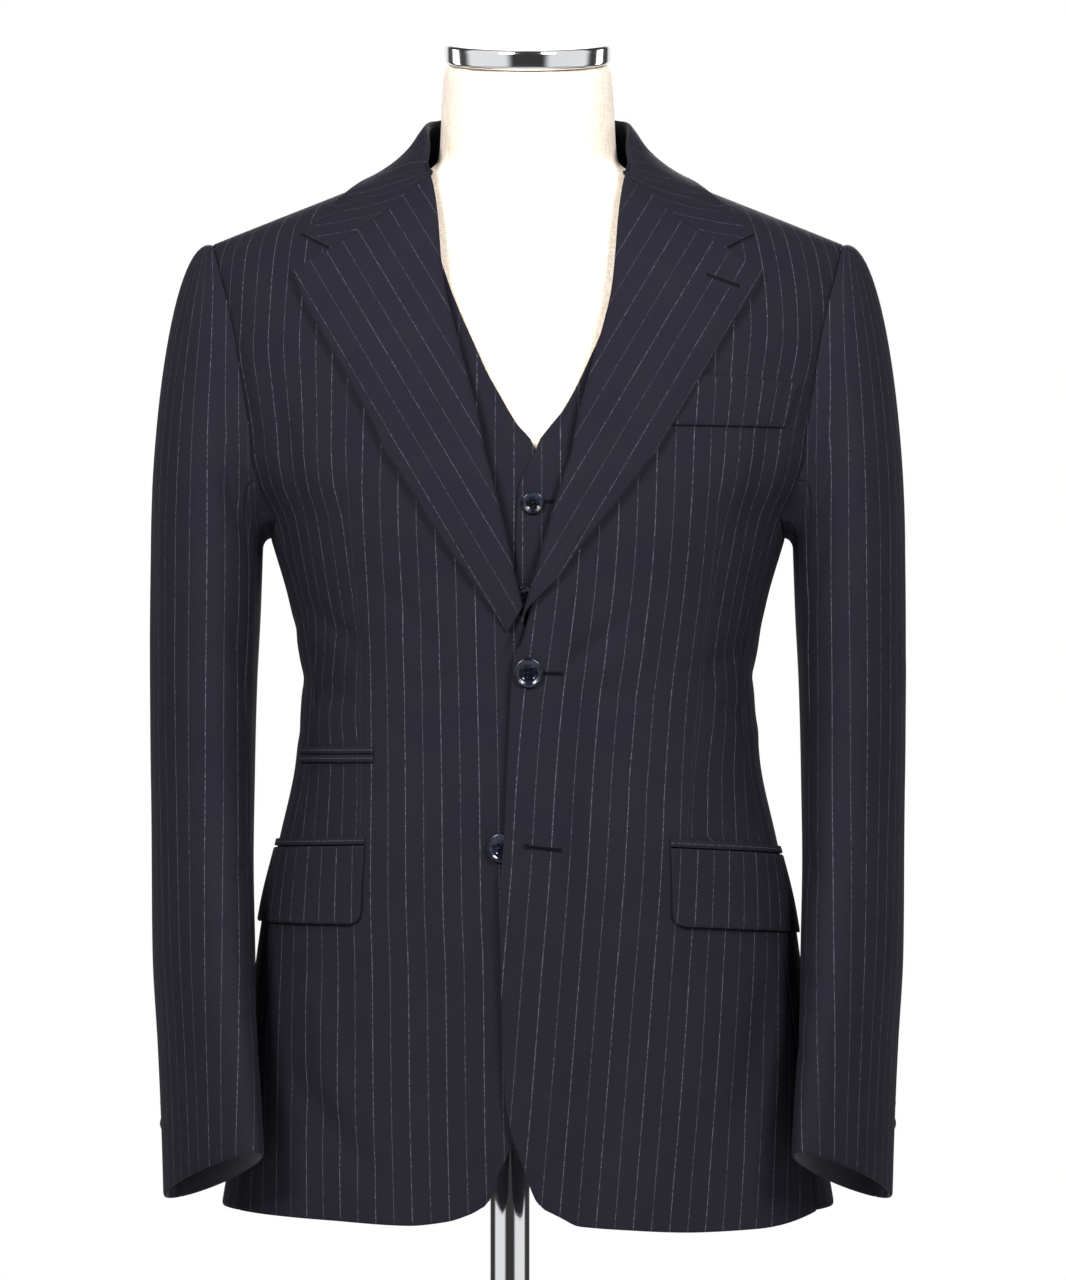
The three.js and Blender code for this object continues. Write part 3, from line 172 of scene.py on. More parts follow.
def build(name, points, faces, *materials, sharp=35):
    """A mesh object from points in millimetres, smooth but for its sharp edges."""
    mesh = bpy.data.meshes.new(name)
    mesh.from_pydata((np.asarray(points) / 1000).tolist(), [], faces)
    for material in materials:
        mesh.materials.append(material)
    mesh.shade_smooth()
    mesh.set_sharp_from_angle(angle=math.radians(sharp))
    made = bpy.data.objects.new(name, mesh)
    bpy.context.scene.collection.objects.link(made)
    return made


def weld(piece):
    """Joins points that lie on each other, where a turned outline comes back to its start."""
    shape = bmesh.new()
    shape.from_mesh(piece.data)
    bmesh.ops.remove_doubles(shape, verts=shape.verts, dist=1e-6)
    shape.to_mesh(piece.data)
    shape.free()


def place_piece(piece, slot, *nodes):
    """Parents a finished piece to the root body and hides the nodes it takes the place of."""
    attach(piece, "root")
    if nodes:
        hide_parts(*nodes)
    return piece


steel = plated_steel()
socket_bore = POLE_RADIUS + SEAM
turned_parts = {
    "stand_base": [(0, 0), (189, 0), (190, 1), (190, 5), (186, 8), (70, 12), (30, 15),
                   (24, BASE_TOP), (0, BASE_TOP)],
    "stand_pole": [(0, BASE_TOP + SEAM), (POLE_RADIUS, BASE_TOP + SEAM),
                   (POLE_RADIUS, FORM_BOTTOM - 2 * SEAM), (0, FORM_BOTTOM - 2 * SEAM)],
    "stand_socket": [(socket_bore, 828), (24, 828), (26, 832), (26, 842), (34, 846),
                     (34, FORM_BOTTOM - SEAM), (socket_bore, FORM_BOTTOM - SEAM), (socket_bore, 828)],
}
for node, outline in turned_parts.items():
    points, faces = spun_points(rounded(outline), 96)
    piece = build(f"{node}_turned", points + (POLE_X, 0, 0), faces, steel)
    if outline[0] == outline[-1]:
        weld(piece)
    place_piece(piece, "chrome", node)


# ---- Dress form ----
# A hard torso and neck covered in cream linen drawn tight, with no limbs. The neck leans
# forward a little and ends in a plated cap with a satin top.

TOP_OF_CHEST = 1260
ARC_OF_SHOULDER = 140
TOP = TOP_OF_CHEST + ARC_OF_SHOULDER * math.pi / 2
SHOULDER = {"end": 219, "height": 1407, "slope": 0.39}
ROUNDNESS = 2.2
DOME = 2.5
SECTIONS = {
    "rise": [735, 790, 850, 900, 950, 1000, 1050, 1105, 1133, 1161, 1189, 1215, 1242, 1260,
             1330, 1400, 1480],
    "half": [215, 206, 199, 192, 184, 171.5, 161, 157, 160.5, 166, 174, 183, 204, 214, 228, 234, 236],
    "front": [122, 120, 118, 117, 117, 117, 117, 118, 120, 122, 125, 127, 127, 126, 124, 122, 121],
    "back": [134, 134, 132, 131, 128, 121, 113, 107, 107, 109, 112, 115, 117, 118, 120, 120, 120],
    "shift": [35, 28, 20, 13, 7, 2, 0, 0, 0, 0, 0, 0, 0, 0, 0, 0, 0],
}
FORM_INSET = 14.5
FORM_SIDE_INSET = 18
FORM_HALF = 176
FORM_DROP = 6.8
NECK = {"y": 6, "z": 1440, "tilt": 12, "length": 94}


def curve_through(xs, ys):
    """A smooth curve through the points that never swings past one."""
    xs, ys = np.array(xs, float), np.array(ys, float)
    rate = np.diff(ys) / np.diff(xs)
    slope = np.concatenate([rate[:1], np.zeros(len(xs) - 2), rate[-1:]])
    before, after = rate[:-1], rate[1:]
    same = before * after > 0
    slope[1:-1][same] = 2 * (before * after)[same] / (before + after)[same]

    def at(x):
        x = np.asarray(x, float)
        i = np.clip(np.searchsorted(xs, x) - 1, 0, len(xs) - 2)
        width = xs[i + 1] - xs[i]
        t = np.clip((x - xs[i]) / width, 0, 1)
        bend = width * (slope[i] * t * (1 - t) ** 2 - slope[i + 1] * t * t * (1 - t))
        along = ys[i] + (ys[i + 1] - ys[i]) * t * t * (3 - 2 * t) + bend
        return along + slope[0] * np.minimum(x - xs[0], 0) + slope[-1] * np.maximum(x - xs[-1], 0)

    return at


def curve_of(table, column, over="rise"):
    """A smooth curve through one column of a table."""
    return curve_through(table[over], table[column])


class Figure:
    """The body under the cloth, by the angle round it, from the front centre towards the
    wearer's left, and the rise, which follows the curve to the shoulder line above the chest."""

    def __init__(self, sections, shoulder_height):
        for column in ("half", "front", "back", "shift"):
            setattr(self, column, curve_of(sections, column))
        self.shoulder_height = shoulder_height
        self.arc_rises = np.arange(700, TOP + 10, 5.0)
        self.arc_angles = np.radians(np.arange(0, 181.0))
        angle, rise = np.meshgrid(self.arc_angles, self.arc_rises)
        steps = np.linalg.norm(np.diff(self.surface(angle, np.minimum(rise, TOP)), axis=1), axis=2)
        self.arcs = np.hstack([np.zeros((len(self.arc_rises), 1)), np.cumsum(steps, axis=1)])

    def ridge(self, x):
        return self.shoulder_height + (SHOULDER["end"] - np.abs(x)) * SHOULDER["slope"]

    def surface(self, angle, rise):
        angle, rise = np.broadcast_arrays(np.asarray(angle, float), np.asarray(rise, float))
        sine, cosine = np.sin(angle), np.cos(angle)
        x = self.half(rise) * np.sign(sine) * np.abs(sine) ** (2 / ROUNDNESS)
        reach = np.where(cosine > 0, -self.front(rise), self.back(rise))
        depth = reach * np.abs(cosine) ** (2 / ROUNDNESS)
        turn = np.clip((rise - TOP_OF_CHEST) / ARC_OF_SHOULDER, 0, math.pi / 2)
        close = np.maximum(np.cos(turn), 0) ** (2 / DOME)
        climb = (self.ridge(x) - TOP_OF_CHEST) * np.sin(turn) ** (2 / DOME)
        z = np.where(rise <= TOP_OF_CHEST, rise, TOP_OF_CHEST + climb)
        return np.stack([x, self.shift(rise) + depth * close, z], axis=-1)

    def normal(self, angle, rise):
        above = np.minimum(rise + 0.5, TOP)
        around = self.surface(angle + 0.004, rise) - self.surface(angle - 0.004, rise)
        up = self.surface(angle, above) - self.surface(angle, above - 1)
        return unit(np.cross(around, up))

    def point(self, angle, rise, out=0.0):
        out = np.asarray(out, float)[..., None]
        return self.surface(angle, rise) + self.normal(angle, rise) * out

    def angle_at(self, x, rise):
        """The angle that lies x from the centre line, at the front."""
        share = np.minimum(np.abs(x) / self.half(rise), 1)
        return np.sign(x) * np.arcsin(share ** (ROUNDNESS / 2))

    def across_at(self, angle, rise):
        sine = np.sin(np.abs(angle))
        return self.half(rise) * np.sign(angle) * np.abs(sine) ** (2 / ROUNDNESS)

    def move_round(self, angle, rise, length):
        """The angle changed so that the point moves by a length round the body."""
        step = self.surface(angle + 0.004, rise) - self.surface(angle - 0.004, rise)
        return angle + length * 0.008 / np.linalg.norm(step, axis=-1)

    def arc(self, angle, rise):
        """The length round the body from the front centre to an angle."""
        row = np.clip((rise - self.arc_rises[0]) / 5, 0, len(self.arc_rises) - 1.001)
        column = np.clip(np.degrees(np.abs(angle)), 0, 179.999)
        i, j = row.astype(int), column.astype(int)
        s, t = row - i, column - j
        table = self.arcs
        low = table[i, j] * (1 - t) + table[i, j + 1] * t
        high = table[i + 1, j] * (1 - t) + table[i + 1, j + 1] * t
        return np.sign(angle) * (low * (1 - s) + high * s)


def unit(vectors):
    return vectors / np.maximum(np.linalg.norm(vectors, axis=-1, keepdims=True), 1e-12)


def on_neck(points, height=0.0):
    """Turns points to the neck's lean and sets them that far up it."""
    lean = math.radians(NECK["tilt"])
    x, y, z = points[:, 0], points[:, 1], points[:, 2] + height
    return np.stack([x, y * math.cos(lean) - z * math.sin(lean) + NECK["y"],
                     y * math.sin(lean) + z * math.cos(lean) + NECK["z"]], axis=1)


def plain_linen():
    """Cream linen drawn tight: an upright thread that shows, with slubs."""
    made, tree, shader = new_finish("form_linen", Roughness=0.86, Sheen_Weight=0.25, Sheen_Roughness=0.5)
    place = wire(tree, "ShaderNodeTexCoord").outputs["Object"]
    warp = grain(tree, place, 1000.0, 1.0, (1, 1, 0.08))
    weft = grain(tree, place, 1000.0, 1.0, (0.12, 0.12, 1))
    cloud = grain(tree, place, 14.0, 2.0)
    weave = maths(tree, "ADD", maths(tree, "MULTIPLY", warp, 0.65), maths(tree, "MULTIPLY", weft, 0.35))
    tone = blended(tree, ramp(tree, weave, 0.38, 0.62), colour(232, 215, 194), colour(252, 242, 228))
    tone = blended(tree, ramp(tree, cloud, 0.3, 0.75, 0.0, 0.22), tone, colour(238, 218, 196))
    tree.links.new(tone, shader.inputs["Base Color"])
    bumped(tree, shader, weave, 0.12, 0.6)
    return made


def covered_torso():
    """The torso's rings and the neck, fused into one skin with a soft join."""
    sections = {
        "rise": SECTIONS["rise"],
        "half": [min(half - FORM_SIDE_INSET, FORM_HALF) for half in SECTIONS["half"]],
        "front": [front - FORM_INSET for front in SECTIONS["front"]],
        "back": [back - FORM_INSET for back in SECTIONS["back"]],
        "shift": SECTIONS["shift"],
    }
    body = Figure(sections, SHOULDER["height"] - FORM_DROP)
    around = 96
    rises = np.concatenate([np.linspace(FORM_BOTTOM, 1215, 30), np.linspace(1225, TOP - 4, 26)])
    angle, rise = np.meshgrid(np.arange(around) * 2 * math.pi / around, rises)
    points = body.surface(angle, rise).reshape(-1, 3)
    faces = []
    for row in range(len(rises) - 1):
        for k in range(around):
            a, b = row * around + k, row * around + (k + 1) % around
            faces.append((a, b, b + around, a + around))
    last = (len(rises) - 1) * around
    faces.append(tuple(reversed(range(around))))
    quarter = around // 4
    for k in range(-quarter, quarter):
        near = [last + k % around, last + (k + 1) % around]
        far = [last + (around // 2 - k - 1) % around, last + (around // 2 - k) % around]
        face = list(dict.fromkeys(near + far))
        if len(face) > 2:
            faces.append(tuple(face))
    outline = [(0, -42), (67, -42), (65.5, -8), (63, 16), (61, 40), (60, 62), (58.5, 84),
               (58, NECK["length"]), (0, NECK["length"])]
    neck, neck_faces = spun_points(outline, 64)
    shift = len(points)
    faces += [tuple(shift + corner for corner in face) for face in neck_faces]
    torso = build("torso_covered", np.vstack([points, on_neck(neck)]), faces)
    skin = torso.modifiers.new("skin", "REMESH")
    skin.mode, skin.voxel_size, skin.use_smooth_shade = "VOXEL", 0.0042, True
    ease = torso.modifiers.new("ease", "SMOOTH")
    ease.factor, ease.iterations = 0.5, 8
    return torso


def make_real(piece):
    """Turns what a piece's modifiers show into its mesh, and takes the modifiers off."""
    shown = piece.evaluated_get(bpy.context.evaluated_depsgraph_get())
    mesh = bpy.data.meshes.new_from_object(shown)
    piece.modifiers.clear()
    piece.data = mesh
    return piece


torso = make_real(covered_torso())
torso.data.materials.clear()
torso.data.materials.append(plain_linen())
place_piece(torso, "linen", "form_torso")

satin, satin_tree, satin_shader = new_finish("satin_plate", Metallic=1.0, Base_Color=(0.74, 0.74, 0.75, 1))
satin_place = wire(satin_tree, "ShaderNodeTexCoord").outputs["Object"]
satin_grain = grain(satin_tree, satin_place, 60.0, 3.0, (1, 12, 1))
satin_tree.links.new(ramp(satin_tree, satin_grain, 0.3, 0.7, 0.3, 0.42), satin_shader.inputs["Roughness"])

cap_outline = [(0, 0), (56, 0), (57.5, 1.4), (57.5, 11.6), (56.2, 13.8), (42, 15), (0, 15.6)]
points, faces = spun_points(rounded(cap_outline, 1.6), 128)
cap = build("neck_cap_plated", on_neck(points, NECK["length"] + SEAM), faces, steel, satin)
for face in cap.data.polygons:
    face.material_index = 1 if face.normal.z > 0.9 else 0
place_piece(cap, "chrome", "form_neck_cap")


# ---- Waistcoat ----
# The same worsted as the jacket, cut close, with a V neck and five buttons. Its fronts lap
# at the centre and end in two points. The jacket hides all but the V.

CLOTH = 2.0
WAISTCOAT_CLOTH = 1.6
ARMPIT = 1215
ROWS_BELOW = 10
ROWS_ABOVE = 10
ROWS = ROWS_BELOW + ROWS_ABOVE
WAISTCOAT_ROWS_BELOW = 6
WAISTCOAT_ROWS = WAISTCOAT_ROWS_BELOW + ROWS_ABOVE
WAISTCOAT_BACK_HEM = 968
WAISTCOAT_LAP = 2.4
STRIPE_PITCH = 12.8
STITCH_INSET = 5
WAISTCOAT_STRIPE = 3.0
WAISTCOAT_BACK_RADIUS = 115
WAISTCOAT_EDGES = {
    "right": {"rise": [940, 1240, 1256, 1261, 1266, 1275, 1286, 1330, 1400, 1480],
              "across": [-12, -13, -8, -4, 7.5, 18.7, 29.5, 55, 75, 90]},
    "left": {"rise": [940, 1185, 1212, 1233, 1246, 1260, 1270, 1285, 1315, 1400, 1480],
             "across": [-8.4, -8.3, -7.6, -6.6, -2, 5.5, 23.6, 38.4, 56, 76, 90]},
}
WAISTCOAT_HEM = {"across": [-12, 12, 38, 70, 120, 170], "rise": [958, 941, 925, 935, 960, 980]}
WAISTCOAT_ARMHOLE = {"rise": [900, 1155, 1180, ARMPIT, 1270, 1330, 1400, 1480],
                     "front": [89.9, 89.9, 83, 67, 46, 38.5, 34.5, 30],
                     "back": [89.9, 89.9, 85, 71, 54, 44.5, 37.5, 30]}

figure = Figure(SECTIONS, SHOULDER["height"])
waistcoat_armhole_front = curve_of(WAISTCOAT_ARMHOLE, "front")
waistcoat_armhole_back = curve_of(WAISTCOAT_ARMHOLE, "back")


def mix(low, high, share):
    """The value a share of the way from low to high."""
    return low + (high - low) * share


def fade_in(value, low, high):
    """Climbs smoothly from 0 at low to 1 at high."""
    t = np.clip((value - low) / (high - low), 0, 1)
    return t * t * (3 - 2 * t)


def fade_out(value, low, high):
    return 1 - fade_in(value, low, high)


def row_rise(row, hem, top=TOP, below=ROWS_BELOW):
    """Rows are even from the hem to the armpit, and from there to the top."""
    return np.where(row <= below, mix(hem, ARMPIT, row / below),
                    mix(ARMPIT, top, (row - below) / ROWS_ABOVE))


def stations(count, length):
    """Places from 0 to 1 along a length, closer together at both ends for turned edges."""
    ends = np.array([0, 0.4, 1.0, 1.9, 3.2]) / length
    middle = np.linspace(5 / length, 1 - 5 / length, count)
    return np.concatenate([ends, middle, 1 - ends[::-1]])


def edge_distances(grid):
    """How far each point lies from the grid's four edges, along the grid."""
    across = np.linalg.norm(np.diff(grid, axis=0), axis=2)
    upward = np.linalg.norm(np.diff(grid, axis=1), axis=2)
    start = np.vstack([np.zeros((1, grid.shape[1])), np.cumsum(across, axis=0)])
    bottom = np.hstack([np.zeros((grid.shape[0], 1)), np.cumsum(upward, axis=1)])
    return {"start": start, "end": start[-1:] - start, "bottom": bottom, "top": bottom[:, -1:] - bottom}


def turned_over(distance, depth=0.6, reach=0.9):
    """How far a face sinks beside an edge where its cloth turns over."""
    return depth * np.exp(-((distance / reach) ** 2))


def pulled_in(distance):
    """The shallow groove that hand stitches pull into the cloth beside an edge."""
    return 0.25 * np.exp(-(((distance - STITCH_INSET) / 1.1) ** 2))


def turned_edges(grid, depth=0.6, reach=0.9, sewn=()):
    """How far the face sinks towards all four edges and in the grooves of the sewn ones."""
    distances = edge_distances(grid)
    sink = sum(turned_over(distance, depth, reach) for distance in distances.values())
    return np.minimum(sink, depth + 0.3) + sum(pulled_in(distances[edge]) for edge in sewn)


def soft_folds(across, height, folds):
    """The lift of a table of creases. Each is a soft ridge or trough along a line, given by
    the across and height of its two ends, its depth and its width."""
    lift = np.zeros(np.broadcast(across, height).shape)
    for start, end, deep, wide in folds:
        run, climb = end[0] - start[0], end[1] - start[1]
        x, z = across - start[0], height - start[1]
        along = (x * run + z * climb) / (run ** 2 + climb ** 2)
        off = np.hypot(x - np.clip(along, 0, 1) * run, z - np.clip(along, 0, 1) * climb)
        ends = np.clip(1 - np.abs(2 * along - 1) ** 3, 0, 1)
        lift += deep * ends * np.exp(-((off / wide) ** 2))
    return lift


def shell(name, outer, inner, cloth_map, face, back):
    """A closed wall between two grids of points, with its cloth laid out flat in its UV map."""
    columns, rows = outer.shape[:2]
    front_ids = np.arange(columns * rows).reshape(columns, rows)
    back_ids = front_ids + columns * rows

    def quads(a, b, c, d):
        return np.stack([a.ravel(), b.ravel(), c.ravel(), d.ravel()], axis=1)

    f, g = front_ids, back_ids
    sheets = [
        quads(f[:-1, :-1], f[1:, :-1], f[1:, 1:], f[:-1, 1:]),
        quads(f[:-1, 0], g[:-1, 0], g[1:, 0], f[1:, 0]),
        quads(f[:-1, -1], f[1:, -1], g[1:, -1], g[:-1, -1]),
        quads(f[0, :-1], f[0, 1:], g[0, 1:], g[0, :-1]),
        quads(f[-1, :-1], g[-1, :-1], g[-1, 1:], f[-1, 1:]),
        quads(g[:-1, :-1], g[:-1, 1:], g[1:, 1:], g[1:, :-1]),
    ]
    faces = np.vstack(sheets)
    points = np.vstack([outer.reshape(-1, 3), inner.reshape(-1, 3)])
    a, b, c, d = (points[faces[:, k]] for k in range(4))
    if np.sum(a * (np.cross(b, c) + np.cross(c, d))) < 0:
        faces = faces[:, ::-1]
    piece = build(name, points, faces.tolist(), face, back, sharp=60)
    lining = np.zeros(len(faces), int)
    lining[-len(sheets[-1]):] = 1
    piece.data.polygons.foreach_set("material_index", lining)
    flat = np.tile(cloth_map.reshape(-1, 2) / 1000, (2, 1))
    layer = piece.data.uv_layers.new(name="cloth")
    layer.data.foreach_set("uv", flat[faces.ravel()].ravel())
    return piece


def panel(name, body, place, cloth_map, thickness, columns, rows, face, back, folds=(), seen=0, **edges):
    """A shell on a body: place gives the angle, rise and height of its face for its stations.
    Folds lie across axis seen, 0 from the front or back and 1 from the side. It returns the
    piece with its face's points and normals."""
    s, t = np.meshgrid(columns, rows, indexing="ij")
    angle, rise, out = place(s, t)
    flat = body.surface(angle, rise)
    normals = body.normal(angle, rise)
    lift = out + soft_folds(flat[..., seen], flat[..., 2], folds)
    outer = flat + normals * lift[..., None]
    inner = outer - normals * thickness
    outer = outer - normals * turned_edges(outer, **edges)[..., None]
    piece = shell(name, outer, inner, cloth_map(angle, rise), face, back)
    return piece, outer, normals


def pinstriped_worsted(name, stripe=1.0):
    """Very dark navy twill. A light thread runs every 12.8 mm of the cloth, strong and faint
    by turns, and shows as broken dashes."""
    made, tree, shader = new_finish(name, Roughness=0.8, Specular_IOR_Level=0.05)
    flat = wire(tree, "ShaderNodeUVMap", uv_map="cloth").outputs[0]
    mm = wire(tree, "ShaderNodeVectorMath", {0: flat, "Scale": 1000.0}, operation="SCALE").outputs[0]
    parts = wire(tree, "ShaderNodeSeparateXYZ", {0: mm})
    across, along = parts.outputs[0], parts.outputs[1]
    count = maths(tree, "DIVIDE", across, STRIPE_PITCH)
    number = maths(tree, "FLOOR", count)
    off = maths(tree, "ABSOLUTE", maths(tree, "SUBTRACT", maths(tree, "FRACT", count), 0.5))
    off = maths(tree, "MULTIPLY", off, STRIPE_PITCH)
    line = ramp(tree, off, 0.1, 0.44, 1.0, 0.0)
    turns = maths(tree, "PINGPONG", number, 1.0)
    strength = maths(tree, "MULTIPLY_ADD", turns, 0.4, 0.6)
    dash_place = wire(tree, "ShaderNodeCombineXYZ", {
        0: maths(tree, "MULTIPLY", number, 7.31), 1: maths(tree, "MULTIPLY", along, 0.30)}).outputs[0]
    long_dash = grain(tree, dash_place, 1.0, 3.0)
    dots = grain(tree, mm, 0.9, 1.0, (0.4, 1, 1))
    dash = maths(tree, "MULTIPLY", ramp(tree, long_dash, 0.36, 0.6, 0.3, 1.0),
                 ramp(tree, dots, 0.34, 0.58, 0.2, 1.0))
    mask = maths(tree, "MULTIPLY", maths(tree, "MULTIPLY", line, strength), dash)
    mask = maths(tree, "MULTIPLY", mask, stripe)

    diagonal = maths(tree, "ADD", across, along)
    twill = maths(tree, "SINE", maths(tree, "MULTIPLY", diagonal, 2 * math.pi / 0.9))
    twill = maths(tree, "MULTIPLY_ADD", twill, 0.5, 0.5)
    fluff = grain(tree, mm, 2.2, 2.0)
    cloud = grain(tree, mm, 0.02, 3.0)
    mottle = maths(tree, "ADD", maths(tree, "MULTIPLY", twill, 0.45), maths(tree, "MULTIPLY", fluff, 0.8))
    base = blended(tree, ramp(tree, mottle, 0.2, 1.05), colour(19, 18, 25), colour(38, 37, 45))
    base = blended(tree, ramp(tree, cloud, 0.3, 0.7, 0.0, 0.35), base, colour(25, 24, 34))
    base = blended(tree, mask, base, colour(90, 89, 100))
    tree.links.new(base, shader.inputs["Base Color"])
    height = maths(tree, "ADD", maths(tree, "MULTIPLY", twill, 0.5), maths(tree, "MULTIPLY", fluff, 0.6))
    bumped(tree, shader, maths(tree, "MULTIPLY_ADD", mask, 0.5, height), 0.09, 0.6)
    return made


def satin_lining():
    """Dark navy lining with a low sheen across its weave."""
    made, tree, shader = new_finish("satin_lining", Sheen_Weight=0.2, Anisotropic=0.4)
    flat = wire(tree, "ShaderNodeUVMap", uv_map="cloth").outputs[0]
    mm = wire(tree, "ShaderNodeVectorMath", {0: flat, "Scale": 1000.0}, operation="SCALE").outputs[0]
    threads = grain(tree, mm, 1.6, 2.0, (1, 0.1, 1))
    ripple = grain(tree, mm, 0.03, 2.0)
    tone = blended(tree, threads, colour(20, 22, 34), colour(30, 32, 46))
    tree.links.new(tone, shader.inputs["Base Color"])
    tree.links.new(ramp(tree, ripple, 0.3, 0.7, 0.38, 0.52), shader.inputs["Roughness"])
    bumped(tree, shader, threads, 0.05, 0.5)
    return made


worsted = pinstriped_worsted("pinstriped_worsted")
lining = satin_lining()


def waistcoat_out(rise):
    """How far the waistcoat's face lies off the figure, which is the jacket's own face."""
    turn = np.clip((rise - TOP_OF_CHEST) / ARC_OF_SHOULDER, 0, math.pi / 2)
    return -mix(2.6, 9, np.cos(turn))


def waistcoat_front(side, edges):
    """Where a front's face lies, from its edge to its armhole."""
    edge_line = curve_of(edges, "across")
    hem = curve_of(WAISTCOAT_HEM, "rise", over="across")

    def place(s, t):
        rise = row_rise(t * WAISTCOAT_ROWS, hem(mix(edge_line(955), 170, s)), TOP, WAISTCOAT_ROWS_BELOW)
        edge = figure.angle_at(edge_line(rise), rise)
        outside = figure.move_round(np.radians(waistcoat_armhole_front(rise)), rise, -SEAM / 2)
        across = edge_line(rise) + s * 120
        lap = WAISTCOAT_LAP * fade_out(across, 14, 40) * fade_out(rise, 1262, 1300)
        return side * mix(edge, outside, s), rise, waistcoat_out(rise) + (lap if side > 0 else 0)

    return place


def waistcoat_back(s, t):
    """Where the back's face lies, from one armhole to the other."""
    share = 2 * s - 1
    level = row_rise(t * WAISTCOAT_ROWS, WAISTCOAT_BACK_HEM, TOP, WAISTCOAT_ROWS_BELOW)
    across = figure.across_at(np.abs(share) * np.radians(waistcoat_armhole_back(level)), TOP)
    top = mix(1374, TOP - 0.4, np.minimum(across / 90, 1) ** 2.2)
    rise = row_rise(t * WAISTCOAT_ROWS, WAISTCOAT_BACK_HEM, top, WAISTCOAT_ROWS_BELOW)
    outside = figure.move_round(np.radians(waistcoat_armhole_back(rise)), rise, -SEAM / 2)
    return math.pi + share * outside, rise, waistcoat_out(rise)


def stripes_from_front(shift):
    """The flat cloth of a front: stripes keep their distance from the centre line."""
    return lambda angle, rise: np.stack([figure.arc(angle, rise) - shift, rise + 0 * angle], axis=-1)


def waistcoat_back_map(angle, rise):
    """The flat cloth of the back, by a mean girth."""
    across = (angle - math.pi) * WAISTCOAT_BACK_RADIUS
    return np.stack([across, rise + 0 * angle], axis=-1)


def sewn_row_tree():
    """Geometry Nodes: small stitches laid at even steps along lines of points, each lying on
    the cloth it goes through, whose facing is kept with the points."""
    tree = bpy.data.node_groups.new("sewn_row", "GeometryNodeTree")
    sockets = [("Lines", "NodeSocketGeometry"), ("Step", "NodeSocketFloat"), ("Long", "NodeSocketFloat"),
               ("Wide", "NodeSocketFloat"), ("High", "NodeSocketFloat"), ("Seed", "NodeSocketInt"),
               ("Thread", "NodeSocketMaterial")]
    for name, kind in sockets:
        tree.interface.new_socket(name=name, in_out="INPUT", socket_type=kind)
    tree.interface.new_socket(name="Stitches", in_out="OUTPUT", socket_type="NodeSocketGeometry")
    given = tree.nodes.new("NodeGroupInput").outputs
    lines = wire(tree, "GeometryNodeMeshToCurve", {"Mesh": given["Lines"]}).outputs[0]
    spots = wire(tree, "GeometryNodeResampleCurve", {"Curve": lines, "Length": given["Step"]},
                 mode="LENGTH")
    facing = wire(tree, "GeometryNodeInputNamedAttribute", {"Name": "facing"}, data_type="FLOAT_VECTOR")
    upright = wire(tree, "FunctionNodeAlignRotationToVector", {"Vector": facing.outputs[0]}, axis="Z")
    tangent = wire(tree, "GeometryNodeInputTangent").outputs[0]
    turned = wire(tree, "FunctionNodeAlignRotationToVector",
                  {"Rotation": upright.outputs[0], "Vector": tangent}, axis="X", pivot_axis="Z")
    ball = wire(tree, "GeometryNodeMeshUVSphere", {"Segments": 6, "Rings": 4, "Radius": 0.5})
    size = wire(tree, "ShaderNodeCombineXYZ", {0: given["Long"], 1: given["Wide"], 2: given["High"]})
    stitch = wire(tree, "GeometryNodeTransform", {"Geometry": ball.outputs[0], "Scale": size.outputs[0]})
    vary = wire(tree, "FunctionNodeRandomValue", data_type="FLOAT")
    vary.inputs[2].default_value, vary.inputs[3].default_value = 0.8, 1.15
    tree.links.new(given["Seed"], vary.inputs["Seed"])
    laid = wire(tree, "GeometryNodeInstanceOnPoints", {
        "Points": spots.outputs[0], "Instance": stitch.outputs[0], "Rotation": turned.outputs[0],
        "Scale": vary.outputs[1]})
    real = wire(tree, "GeometryNodeRealizeInstances", {"Geometry": laid.outputs[0]})
    done = wire(tree, "GeometryNodeSetMaterial", {"Geometry": real.outputs[0], "Material": given["Thread"]})
    tree.links.new(done.outputs[0], tree.nodes.new("NodeGroupOutput").inputs[0])
    return tree


sewn_row = sewn_row_tree()


def stitched(name, lines, finish, slot, step=5.0, long=1.5, wide=0.6, high=0.45, seed=1):
    """A placed piece of stitches along lines of points, each given with its normals."""
    points, edges, facings = [], [], []
    for line, normals in lines:
        first = len(points)
        points += (np.asarray(line) / 1000).tolist()
        facings += np.asarray(normals).tolist()
        edges += [(k, k + 1) for k in range(first, first + len(line) - 1)]
    mesh = bpy.data.meshes.new(name)
    mesh.from_pydata(points, edges, [])
    facing = mesh.attributes.new("facing", "FLOAT_VECTOR", "POINT")
    facing.data.foreach_set("vector", np.array(facings).ravel())
    made = bpy.data.objects.new(name, mesh)
    bpy.context.scene.collection.objects.link(made)
    rows = made.modifiers.new("rows", "NODES")
    rows.node_group = sewn_row
    values = {"Step": step / 1000, "Long": long / 1000, "Wide": wide / 1000, "High": high / 1000,
              "Seed": seed, "Thread": finish}
    for item in sewn_row.interface.items_tree:
        if item.in_out == "INPUT" and item.name in values:
            rows[item.identifier] = values[item.name]
    return place_piece(make_real(made), slot)


def inside_edge(grid, normals, edge, low=0.0, high=1.0):
    """The line of hand stitches inside one edge of a grid, with its normals."""
    away = edge_distances(grid)[edge]
    line, facing = [], []
    across = edge in ("start", "end")
    count = grid.shape[1] if across else grid.shape[0]
    for k in range(count):
        if not low <= k / (count - 1) <= high:
            continue
        points = grid[:, k] if across else grid[k]
        facings = normals[:, k] if across else normals[k]
        distance = away[:, k] if across else away[k]
        order = np.argsort(distance)
        for found, given in ((line, points), (facing, facings)):
            found.append([np.interp(STITCH_INSET, distance[order], given[order, axis])
                          for axis in range(3)])
    return np.array(line), unit(np.array(facing))


